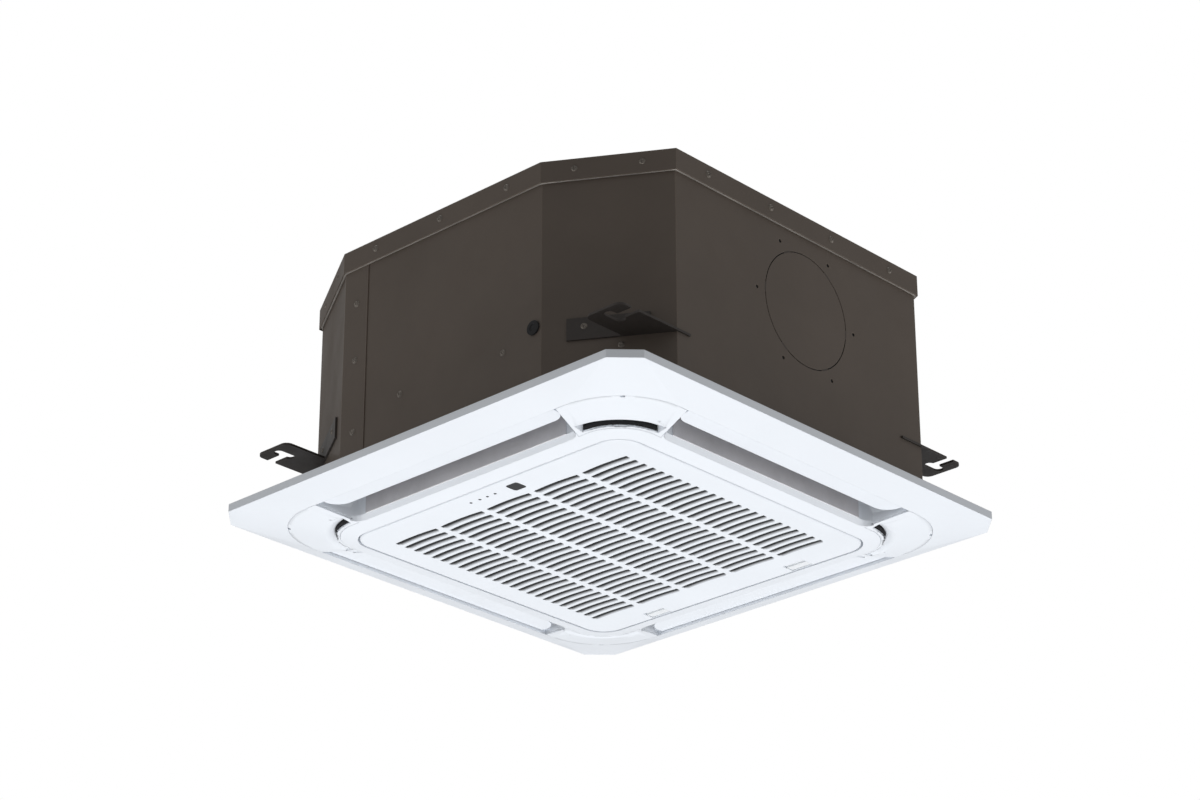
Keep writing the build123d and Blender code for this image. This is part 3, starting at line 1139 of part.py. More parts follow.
def fan_wheel():
    """The turbo fan: dished hub plate, backward-curved blades and a flared shroud."""
    hub_z = CASING_LOW_Z + FAN_HUB_Z
    boss_z = CASING_LOW_Z + FAN_BOSS_LOW
    floor_z = boss_z + 8
    hub = Polygon((FAN_R, hub_z), (FAN_DISH_R, hub_z), (2 * FAN_BOSS_R, floor_z), (FAN_BOSS_R, floor_z),
                  (FAN_BOSS_R, boss_z), (SHAFT_R + PIN_GAP, boss_z), (SHAFT_R + PIN_GAP, floor_z + 12),
                  (FAN_BOSS_R, floor_z + 12), (FAN_BOSS_R, floor_z + FAN_T), (2 * FAN_BOSS_R - 1, floor_z + FAN_T),
                  (FAN_DISH_R - 1, hub_z + FAN_T), (FAN_R, hub_z + FAN_T), align=None)
    wheel = revolve(Plane.XZ * hub, Axis.Z)
    a, b, c = shroud_profile(0)
    d, e, f = shroud_profile(FAN_T)
    shroud = make_face([ThreePointArc(a, b, c), Line(c, f), ThreePointArc(f, e, d), Line(d, a)])
    wheel += revolve(Plane.XZ * shroud, Axis.Z)
    space = Polygon((FAN_BLADE_IN_R - 8, hub_z + FAN_T / 2), (FAN_BLADE_IN_R - 8, d[1] + (f[1] - d[1]) * 0.30),
                    (e[0], e[1] - FAN_T / 2), (f[0] - 2, f[1] - FAN_T / 2), (f[0] - 2, hub_z + FAN_T / 2), align=None)
    zone = revolve(Plane.XZ * space, Axis.Z)
    lead = radians(FAN_BLADE_LEAD_DEG)
    tip = (FAN_R - 3) * cos(-lead), (FAN_R - 3) * sin(-lead)
    root = (FAN_BLADE_IN_R, 0)
    middle = ((tip[0] + root[0]) / 2 + 9, (tip[1] + root[1]) / 2 + 6)
    camber = ThreePointArc(root, middle, tip)
    back = ThreePointArc((tip[0] - 0.8, tip[1] - 1.4), (middle[0] - FAN_BLADE_T, middle[1] - FAN_BLADE_T * 0.9),
                         (root[0] - 3, root[1] - 1.5))
    blade_plan = make_face([camber, Line(tip, back @ 0), back, Line(back @ 1, root)])
    blade = prism(blade_plan, CASING_LOW_Z + FAN_SHROUD_LOW, hub_z + FAN_T / 2) & zone
    wheel += [Rot(0, 0, index * 360 / FAN_BLADES) * blade for index in range(FAN_BLADES)]
    return wheel


def motor_shaft():
    """The shaft that carries the wheel, with a shoulder above the boss."""
    top = CASING_LOW_Z + MOTOR_LOW + MOTOR_H * 0.8
    return rod(SHAFT_R, CASING_LOW_Z + SHAFT_LOW, top)


def fan_nut():
    """The nut and washer that clamp the wheel on its shaft."""
    top = CASING_LOW_Z + FAN_BOSS_LOW
    washer = Circle(FAN_BOSS_R - 1) - Circle(SHAFT_R + PIN_GAP)
    nut = hexagon(NUT_AF) - Circle(SHAFT_R + PIN_GAP)
    return prism(washer, top - 1.5, top) + prism(nut, top - 1.5 - NUT_H + 2, top - 1.5)


def fan_motor():
    """The motor: a round can with cooling ribs' cap, three ears and a bearing bore."""
    low = CASING_LOW_Z + MOTOR_LOW
    can = rod(MOTOR_R, low + 6, low + MOTOR_H - 2)
    can = chamfer(can.faces().sort_by(Axis.Z)[-1].edges(), 3)
    can += rod(MOTOR_R * 0.45, low, low + 6.5)
    ear_z = low + MOTOR_H - MOTOR_EAR_T
    ears = []
    for index in range(BUSHINGS):
        ear = Pos(BUSHING_PCR, 0, ear_z) * extrude(Circle(BUSHING_R), MOTOR_EAR_T)
        arm = bar(MOTOR_R * 0.7, BUSHING_PCR, -BUSHING_R, BUSHING_R, ear_z, ear_z + MOTOR_EAR_T)
        ears.append(Rot(0, 0, index * 360 / BUSHINGS) * (ear + arm))
    motor = can + ears
    return motor - rod(SHAFT_R + PIN_GAP, low - EPS, low + MOTOR_H * 0.8 + SEAT_GAP)


def motor_bushings():
    """Rubber bushings between the motor's ears and the sunk platform."""
    low = CASING_LOW_Z + MOTOR_LOW + MOTOR_H
    high = CASING_TOP_Z - PLATFORM_DEPTH - SHEET_T
    half = (high - low) / 2
    profile = Polygon((0, low), (BUSHING_R, low), (BUSHING_R, low + 4), (BUSHING_R - 2, low + 5.5), (BUSHING_R, low + 7),
                      (BUSHING_R, high), (0, high), align=None)
    bushing = revolve(Plane.XZ * profile, Axis.Z)
    return [Rot(0, 0, index * 360 / BUSHINGS) * (Pos(BUSHING_PCR, 0, 0) * bushing) for index in range(BUSHINGS)]


# ---------------------------------------------------------------- condensate pump

def drain_pump():
    """The pump: a stepped body with a suction nozzle below and a delivery nozzle above."""
    low, deck = CASING_LOW_Z + PUMP_LOW - 20, CASING_LOW_Z + PUMP_DECK
    profile = Polygon((0, low), (PUMP_R * 0.45, low), (PUMP_R * 0.6, low + 20), (PUMP_R, low + 24), (PUMP_R, low + 40),
                      (PUMP_R * 0.8, low + 44), (PUMP_R * 0.8, deck), (0, deck), align=None)
    body = revolve(Plane.XZ * profile, Axis.Z)
    nozzle = rod(HOSE_R - 2, deck - EPS, deck + 14)
    return Pos(PUMP_X, PUMP_Y, 0) * (body + nozzle)


def pump_bracket():
    """The plate that carries the pump and the float switch, hooked on the coil's end plate."""
    deck = CASING_LOW_Z + PUMP_DECK
    x0, x1 = PUMP_X - PUMP_R, COIL_OUT
    plate = bar(x0, x1, COIL_END, PUMP_Y + PUMP_R, deck, deck + PUMP_DECK_T)
    plate = fillet(plate.edges().filter_by(Axis.Z).group_by(Axis.Y)[-1], PUMP_R / 2)
    tab = bar(COIL_OUT - COIL_T, x1, COIL_END, COIL_END + PUMP_DECK_T, deck - 14, deck)
    hole = Pos(PUMP_X, PUMP_Y, deck) * Cylinder(HOSE_R - 2 + SEAT_GAP, 4 * PUMP_DECK_T)
    return plate + tab - hole


def float_switch():
    """The float switch's stem with its foot."""
    deck = CASING_LOW_Z + PUMP_DECK
    low = CASING_LOW_Z + FLOAT_LOW
    stem = rod(FLOAT_STEM_R, low - 4, deck) + rod(2 * FLOAT_STEM_R, low - 4, low - SLIDE_GAP)
    return Pos(FLOAT_X, FLOAT_Y, 0) * (stem + rod(2 * FLOAT_STEM_R, deck - 8, deck))


def float_ring():
    """The float that slides on the stem."""
    low = CASING_LOW_Z + FLOAT_LOW
    return Pos(FLOAT_X, FLOAT_Y, 0) * tube(FLOAT_R, FLOAT_STEM_R + SLIDE_GAP, low, low + FLOAT_H)


def drain_hose():
    """The hose from the pump to the drain spigot."""
    z0 = CASING_LOW_Z + PUMP_DECK + PUMP_DECK_T
    z1 = CASING_LOW_Z + DRAIN_Z
    x_mid = (PUMP_X + SHEET_X) / 2
    x_end = SHEET_X - LINER_T
    points = [(PUMP_X, PUMP_Y, z0), (PUMP_X, PUMP_Y, z1), (x_mid, PIPE_Y, z1), (x_end, PIPE_Y, z1)]
    path = FilletPolyline(*points, radius=1.6 * HOSE_R)
    outer = sweep(Plane((PUMP_X, PUMP_Y, z0), z_dir=(0, 0, 1)) * Circle(HOSE_R), path=path)
    inner = Pos(PUMP_X, PUMP_Y, 0) * rod(HOSE_R - 2 + PIN_GAP, z0 - EPS, z0 + 14)
    return outer - inner


def drain_spigot():
    """The drain outlet: a pipe stub with a collar inside the pipe plate."""
    low, high = SHEET_X - LINER_T, SHEET_X + DRAIN_OUT
    stub = extrude(Circle(DRAIN_R), high - low)
    bore = Pos(0, 0, (high - low) * 0.4) * extrude(Circle(DRAIN_BORE_R), high)
    collar = Pos(0, 0, LINER_T / 2) * extrude(Circle(DRAIN_R + DRAIN_COLLAR), LINER_T / 2 + 1.2 * SHEET_T)
    return Pos(low, PIPE_Y, CASING_LOW_Z + DRAIN_Z) * (Rot(0, 90, 0) * (stub + collar - bore))


# ---------------------------------------------------------------- control box

def control_box():
    """The sheet-metal tray under the bell mouth plate, open downwards."""
    high = CASING_LOW_Z - BELL_T
    low = high - BOX_H
    outer = bar(-BOX_L / 2, BOX_L / 2, BOX_Y, BOX_Y + BOX_W, low, high)
    inner = bar(-BOX_L / 2 + BOX_T, BOX_L / 2 - BOX_T, BOX_Y + BOX_T, BOX_Y + BOX_W - BOX_T, low - EPS, high - BOX_T)
    return outer - inner


def control_box_cover():
    """The lid of the control box, with turned-up edges outside the tray."""
    high = CASING_LOW_Z - BELL_T
    low = high - BOX_H
    lid = bar(-BOX_L / 2, BOX_L / 2, BOX_Y, BOX_Y + BOX_W, low - BOX_T, low)
    flap = bar(-BOX_L / 4, BOX_L / 4, BOX_Y - BOX_T, BOX_Y, low - BOX_T, low + BOX_H / 3)
    return lid + flap


def control_board():
    """The circuit board with its larger components, standing on the box's roof."""
    roof = CASING_LOW_Z - BELL_T - BOX_T
    y_mid = BOX_Y + BOX_W / 2
    board = bar(-BOX_L * 0.4, BOX_L * 0.3, y_mid - BOX_W * 0.4, y_mid + BOX_W * 0.4, roof - 8, roof - 6.4)
    feet = [Pos(x, y_mid + side * BOX_W * 0.3, 0) * rod(2.5, roof - 7, roof)
            for x in (-BOX_L * 0.36, BOX_L * 0.26) for side in (-1, 1)]
    parts = [Pos(-BOX_L * 0.3 + index * 26, y_mid - 8, 0) * rod(7, roof - 26, roof - 7) for index in range(3)]
    parts.append(bar(BOX_L * 0.05, BOX_L * 0.15, y_mid - 12, y_mid + 12, roof - 24, roof - 7))
    return board + feet + parts


def terminal_block():
    """The row of terminals beside the board."""
    roof = CASING_LOW_Z - BELL_T - BOX_T
    y_mid = BOX_Y + BOX_W / 2
    block = bar(BOX_L * 0.33, BOX_L * 0.47, y_mid - 11, y_mid + 11, roof - 18, roof)
    for index in range(4):
        x = BOX_L * 0.33 + (index + 0.5) * BOX_L * 0.14 / 4
        block -= bar(x - 4, x + 4, y_mid - 12, y_mid - 3, roof - 19, roof - 6)
    return block


def service_screws():
    """Screws of the bell mouth plate and of the control box's cover."""
    head = Rot(180, 0, 0) * cone_head(SCREW_R, SCREW_H)
    plate_z = CASING_LOW_Z - BELL_T
    lid_z = CASING_LOW_Z - BELL_T - BOX_H - BOX_T
    reach = BELL_PLATE_W / 2 - 14
    screws = [Pos(x, y, plate_z) * head for x, y in ((-reach, -reach + 10), (reach, -reach + 10), (0, -reach), (-reach, 60), (reach, 60))]
    screws += [Pos(x, BOX_Y + BOX_W / 2, lid_z) * head for x in (-BOX_L * 0.44, BOX_L * 0.44)]
    return screws


# ---------------------------------------------------------------- writing the nodes

def build():
    """Make every piece and write it under its name."""
    os.makedirs("parts", exist_ok=True)
    write("panel_frame", panel_frame())
    cover, blade = corner_cover(), louver()
    motor, pad, seal, foam = louver_motor(), duct_pad(), duct_seal(), corner_foam()
    for index, angle in enumerate(QUARTER_TURNS, start=1):
        write("corner_cover_%d" % index, turned(cover, angle))
        write("louver_%d" % index, turned(blade, angle))
    write("louver_motors", *[turned(motor, angle) for angle in QUARTER_TURNS])
    write("duct_insulation", *[turned(pad, angle) for angle in QUARTER_TURNS])
    write("duct_seals", *[turned(seal, angle) for angle in QUARTER_TURNS])
    write("corner_seals", *[turned(foam, angle) for angle in QUARTER_TURNS])
    write("intake_grille", intake_grille())
    write("grille_latch_left", grille_latch(1))
    write("grille_latch_right", grille_latch(-1))
    write("receiver_window", receiver_window())
    write("indicator_lenses", *indicator_lenses())
    write("display_case", display_case())
    write("air_filter", air_filter())
    write("top_pan", top_pan())
    write("side_wrap_front", front_wrap())
    write("side_wrap_rear", rear_wrap())
    write("casing_screws", *face_screws())
    write("cable_grommet", cable_grommet())
    write("pipe_plate", pipe_plate())
    corners = [(sx, sy) for sx in (-1, 1) for sy in (-1, 1)]
    for index, (sx, sy) in enumerate(corners, start=1):
        write("hanger_bracket_%d" % index, hanger_bracket(sx, sy))
    write("bracket_screws", *bracket_screws())
    write("corner_plates", *corner_plates())
    write("panel_screws", *panel_screws())
    write("eps_liner", eps_liner())
    write("drain_pan", drain_pan())
    write("coil_fins", coil_fins())
    write("coil_end_plates", *coil_end_plates())
    write("return_bends", *return_bends())
    write("refrigerant_pipes", *refrigerant_pipes())
    write("flare_nuts", *flare_nuts())
    write("bell_mouth", bell_mouth())
    write("fan_wheel", fan_wheel())
    write("motor_shaft", motor_shaft())
    write("fan_nut", fan_nut())
    write("fan_motor", fan_motor())
    write("motor_bushings", *motor_bushings())
    write("drain_pump", drain_pump())
    write("pump_bracket", pump_bracket())
    write("float_switch", float_switch())
    write("float_ring", float_ring())
    write("drain_hose", drain_hose())
    write("drain_spigot", drain_spigot())
    write("control_box", control_box())
    write("control_box_cover", control_box_cover())
    write("control_board", control_board())
    write("terminal_block", terminal_block())
    write("service_screws", *service_screws())


build()
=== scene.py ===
"""Looks of a ceiling cassette air conditioner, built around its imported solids."""
import logging
import math
from dataclasses import dataclass
from enum import Enum
from typing import Callable, Iterable

import bmesh
import bpy
from mathutils import Matrix, Quaternion, Vector


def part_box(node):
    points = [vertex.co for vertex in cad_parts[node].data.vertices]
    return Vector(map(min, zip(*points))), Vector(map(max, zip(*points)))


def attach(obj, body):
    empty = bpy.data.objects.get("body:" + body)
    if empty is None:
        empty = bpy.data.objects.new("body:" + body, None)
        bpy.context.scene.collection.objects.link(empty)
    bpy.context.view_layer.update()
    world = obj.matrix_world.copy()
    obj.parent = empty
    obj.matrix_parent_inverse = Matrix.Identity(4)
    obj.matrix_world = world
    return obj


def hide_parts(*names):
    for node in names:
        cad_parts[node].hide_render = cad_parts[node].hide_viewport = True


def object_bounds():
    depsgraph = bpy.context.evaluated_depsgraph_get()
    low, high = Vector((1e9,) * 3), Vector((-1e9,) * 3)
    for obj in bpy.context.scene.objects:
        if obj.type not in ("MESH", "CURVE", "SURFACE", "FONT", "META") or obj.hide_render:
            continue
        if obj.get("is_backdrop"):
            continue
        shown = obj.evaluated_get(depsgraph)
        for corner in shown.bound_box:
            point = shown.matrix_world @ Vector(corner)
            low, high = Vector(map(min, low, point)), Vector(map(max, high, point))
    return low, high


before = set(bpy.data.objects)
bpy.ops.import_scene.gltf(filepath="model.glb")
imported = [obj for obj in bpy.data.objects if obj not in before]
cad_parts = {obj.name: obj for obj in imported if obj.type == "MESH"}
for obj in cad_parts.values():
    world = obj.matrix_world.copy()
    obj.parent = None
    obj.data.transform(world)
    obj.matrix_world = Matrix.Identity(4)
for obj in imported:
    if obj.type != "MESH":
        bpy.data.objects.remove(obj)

LOG = logging.getLogger("cassette")
CAD_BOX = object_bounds()
MM = 0.001
MERGE = 0.01 * MM                       # vertices this near are one
LEVEL = 0.01 * MM                       # heights this near are one
DIAGONAL = math.sqrt(2)
CLOUD = (0.3, 0.7)                      # the part of a noise's range that its values fill
BEVEL_SAMPLES = 4
BUMP = 0.6                              # strength of every grain
CELL_TONES = (0.90, 1.06)               # of single crystals and beads
# The painted highlight along rounded edges: where it starts and is full, and how much lighter it is.
EDGE_TURN = (0.995, 0.90)               # cosine between rounded and flat normal: no edge, full edge
EDGE_HIGHLIGHT_GAIN = 3.0
DRAWN_STRETCH = (1.0, 1.0, 0.04)
DRIFT_DETAIL, DRIFT_ROUGHNESS = 5.0, 0.6
EDGE_WIDTH = 2                          # of the light along an edge, in edge radii
LEAST_ROUGHNESS = 0.05
RING_REACH = (0.4, 1.6)                 # in half widths of the ring
# Darkest painted shade along a stamped ring and on a slot's walls.
RING_PAINTED_SHADE, SLOT_PAINTED_SHADE = 0.45, 0.03
SLOT_POWER = 2.0                        # how fast a slot darkens with its depth
ROUGHNESS_CLOUD = 3.1                   # its scale, in scales of the colour's drift
ROUGHNESS_DETAIL = 4.0
WHITE_LIGHT = (1.0, 1.0, 1.0, 1.0)

Colour = tuple[float, float, float]
Point = tuple[float, float, float]
Pairs = tuple[tuple[float, float], ...]
Tree, Node, Socket = bpy.types.NodeTree, bpy.types.Node, bpy.types.NodeSocket
Mesh, Material, Piece, BMesh = bpy.types.Mesh, bpy.types.Material, bpy.types.Object, bmesh.types.BMesh


# ------------------------------------------------------------------ helpers

FAMILIES = {"ShaderNodeTree": ("ShaderNode",),
            "GeometryNodeTree": ("GeometryNode", "FunctionNode", "ShaderNode", "")}


def put(tree: Tree, kind: str, inputs: dict | None = None, **settings: object) -> Node:
    """Add a node, set its options, then fill or link its inputs.

    Args:
        tree: The node tree to build in.
        kind: Blender's identifier of the node, without its family.
        inputs: Values, sockets or nodes, by input name or index. A node gives its first output in use.
        settings: Attributes of the node, set before its inputs.

    Returns:
        The new node.
    """
    names = [family + kind for family in FAMILIES[tree.bl_idname]]
    node = tree.nodes.new(next(name for name in names if hasattr(bpy.types, name)))
    for key, value in settings.items():
        setattr(node, key, value)
    for key, value in (inputs or {}).items():
        if isinstance(value, (Node, Socket)):
            tree.links.new(first(value), node.inputs[key])
        else:
            node.inputs[key].default_value = value
    return node


def first(source: Node | Socket) -> Socket:
    """The socket itself, or a node's first output in use."""
    if isinstance(source, Socket):
        return source
    return next(socket for socket in source.outputs if socket.enabled)


def maths(tree: Tree, operation: str, *operands: object) -> Node:
    """A Math node with these operands."""
    return put(tree, "Math", dict(enumerate(operands)), operation=operation)


def mixed(tree: Tree, factor: object, under: object, over: object, blend: str) -> Node:
    """Two colours mixed."""
    return put(tree, "Mix", {"Factor": factor, 6: under, 7: over}, data_type="RGBA", blend_type=blend)


def cleared(block: Material | bpy.types.World) -> Tree:
    """The block's node tree, emptied."""
    block.use_nodes = True
    block.node_tree.nodes.clear()
    return block.node_tree


def rgba(colour: Colour, gain: float = 1.0) -> tuple[float, ...]:
    """The colour times a gain, with full alpha."""
    return (*(min(part * gain, 1.0) for part in colour), 1.0)


def plain_mesh(name: str, points: Iterable = (), edges: Iterable = (), faces: Iterable = ()) -> Mesh:
    """A mesh with these points, edges and faces."""
    mesh = bpy.data.meshes.new(name)
    mesh.from_pydata(list(points), list(edges), list(faces))
    return mesh


def as_mesh(work: BMesh, name: str) -> Mesh:
    """The mesh that a bmesh ends as."""
    mesh = bpy.data.meshes.new(name)
    work.to_mesh(mesh)
    work.free()
    return mesh


def merged(node: str) -> BMesh:
    """A copy of a CAD node's mesh, with its doubled vertices merged."""
    work = bmesh.new()
    work.from_mesh(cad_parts[node].data)
    bmesh.ops.remove_doubles(work, verts=work.verts, dist=MERGE)
    return work


def linked(name: str, data: bpy.types.ID) -> Piece:
    """A new object in the scene."""
    piece = bpy.data.objects.new(name, data)
    bpy.context.scene.collection.objects.link(piece)
    return piece


def around(count: int) -> list[tuple[int, int]]:
    """Each index with the next one, round a closed loop."""
    return [(index, (index + 1) % count) for index in range(count)]


# ------------------------------------------------------------------ finishes

class Grain(Enum):
    """The small relief that a surface carries."""
    SPARK = "fine grain of a spark-eroded mould"
    PEEL = "slight orange peel of a coating"
    SPANGLE = "zinc crystals"
    BEADS = "expanded foam beads"
    DRAWN = "lines of a rolled or turned metal"
    FIBRE = "short fibres of a felt"


SPARK, PEEL, SPANGLE, BEADS, DRAWN, FIBRE = Grain
GRAIN_NOISE = {SPARK: {"Detail": 2.0}, PEEL: {"Detail": 2.0}, DRAWN: {},
               FIBRE: {"Detail": 8.0, "Distortion": 2.0}}


@dataclass(frozen=True)
class Finish:
    """A procedural material: base colour, slow colour drift, small relief, painted highlights along edges
    and, where asked, painted shade.
    """
    name: str
    colour: Colour
    roughness: float = 0.45
    metallic: float = 0.0
    grain: Grain = SPARK
    grain_scale: float = 1400.0
    grain_depth: float = 0.00002
    drift: float = 0.03
    drift_scale: float = 7.0
    edge_radius: float = 0.0005
    painted_edge_highlight: float = 0.0
    roughness_drift: float = 0.06
    ring_painted_shade: tuple[float, float, float, float] | None = None
    painted_shade_by_depth: tuple[float, float] | None = None

    def build(self) -> Material:
        """Make the material.

        Returns:
            The new material, with its node tree.
        """
        material = bpy.data.materials.new(self.name)
        tree = cleared(material)
        place = put(tree, "TexCoord").outputs["Object"]
        shader = put(tree, "BsdfPrincipled", {
            "Metallic": self.metallic, "Base Color": self._colour(tree, place),
            "Roughness": self._roughness(tree, place), "Normal": self._relief(tree, place)})
        put(tree, "OutputMaterial", {"Surface": shader})
        material.diffuse_color = rgba(self.colour)
        return material

    def _colour(self, tree: Tree, place: Socket) -> Node:
        """Colour that drifts slowly over the surface, with painted highlights along rounded edges and painted
        shade where asked.
        """
        cloud = put(tree, "TexNoise", {"Vector": place, "Scale": self.drift_scale,
                                       "Detail": DRIFT_DETAIL, "Roughness": DRIFT_ROUGHNESS})
        colour = put(tree, "ValToRGB", {"Fac": cloud})
        low, high = colour.color_ramp.elements
        low.position, high.position = CLOUD
        low.color, high.color = rgba(self.colour, 1 - self.drift), rgba(self.colour, 1 + self.drift)
        # Cell tones are the grain's own colour; the ring and slot darkening is painted shade.
        grain_tones_and_painted_shade_list = []
        if self.grain in (SPANGLE, BEADS):
            cells = put(tree, "TexVoronoi", {"Vector": place, "Scale": self.grain_scale})
            tones = cells.outputs["Color"]
            grain_tones_and_painted_shade_list.append(put(tree, "MapRange", {"Value": tones, "To Min": CELL_TONES[0],
                                                "To Max": CELL_TONES[1]}))
        if self.ring_painted_shade:
            grain_tones_and_painted_shade_list.append(self._painted_shade_of_ring(tree, place))
        if self.painted_shade_by_depth:
            grain_tones_and_painted_shade_list.append(self._painted_shade_of_slot(tree, place))
        for shade in grain_tones_and_painted_shade_list:
            colour = mixed(tree, 1.0, colour, shade, "MULTIPLY")
        # Painted highlight: the colour made lighter where the bevel's rounded normal turns away from the flat
        # one.
        if self.painted_edge_highlight > 0:
            rounded = put(tree, "Bevel", {"Radius": EDGE_WIDTH * self.edge_radius}, samples=BEVEL_SAMPLES)
            flat = put(tree, "NewGeometry").outputs["Normal"]
            turn = put(tree, "VectorMath", {0: rounded, 1: flat}, operation="DOT_PRODUCT")
            edge = put(tree, "MapRange", {"Value": turn, "From Min": EDGE_TURN[0], "From Max": EDGE_TURN[1],
                                          "To Min": 0.0, "To Max": self.painted_edge_highlight})
            colour = mixed(tree, edge, colour, rgba(self.colour, EDGE_HIGHLIGHT_GAIN), "MIX")
        return colour

    def _painted_shade_of_ring(self, tree: Tree, place: Socket) -> Node:
        """Painted shade along a ring stamped in an upright sheet, standing in for the shade in its groove:
        its x and z, radius and half width.
        """
        x, z, radius, half = self.ring_painted_shade
        flat = put(tree, "VectorMath", {0: place, 1: (1.0, 0.0, 1.0)}, operation="MULTIPLY")
        away = put(tree, "VectorMath", {0: flat, 1: (x, 0.0, z)}, operation="DISTANCE")
        size = maths(tree, "ABSOLUTE", maths(tree, "SUBTRACT", away, radius))
        return put(tree, "MapRange", {"Value": size, "From Min": RING_REACH[0] * half,
                                      "From Max": RING_REACH[1] * half, "To Min": RING_PAINTED_SHADE, "To Max": 1.0})

    def _painted_shade_of_slot(self, tree: Tree, place: Socket) -> Node:
        """Painted shade that deepens from one level up to another, standing in for the shade deep inside a
        narrow slot.
        """
        low, high = self.painted_shade_by_depth
        height = put(tree, "SeparateXYZ", {"Vector": place}).outputs["Z"]
        left = put(tree, "MapRange", {"Value": height, "From Min": low, "From Max": high,
                                      "To Min": 1.0, "To Max": 0.0})
        return maths(tree, "MAXIMUM", maths(tree, "POWER", left, SLOT_POWER), SLOT_PAINTED_SHADE)

    def _roughness(self, tree: Tree, place: Socket) -> Node:
        """Roughness that varies a little, as handled and dusty surfaces do."""
        scale = ROUGHNESS_CLOUD * self.drift_scale
        cloud = put(tree, "TexNoise", {"Vector": place, "Scale": scale, "Detail": ROUGHNESS_DETAIL})
        return put(tree, "MapRange", {
            "Value": cloud, "From Min": CLOUD[0], "From Max": CLOUD[1],
            "To Min": max(self.roughness - self.roughness_drift, LEAST_ROUGHNESS),
            "To Max": min(self.roughness + self.roughness_drift, 1.0)})

    def _relief(self, tree: Tree, place: Socket) -> Node:
        """The grain as a bump, over edges rounded by the bevel shader."""
        if self.grain is DRAWN:
            place = put(tree, "Mapping", {"Vector": place, "Scale": DRAWN_STRETCH})
        noise = GRAIN_NOISE.get(self.grain)
        source = put(tree, "TexVoronoi" if noise is None else "TexNoise",
                     {"Vector": place, "Scale": self.grain_scale, **(noise or {})})
        rounded = put(tree, "Bevel", {"Radius": self.edge_radius}, samples=BEVEL_SAMPLES)
        return put(tree, "Bump", {"Strength": BUMP, "Distance": self.grain_depth, "Height": source,
                                  "Normal": rounded})


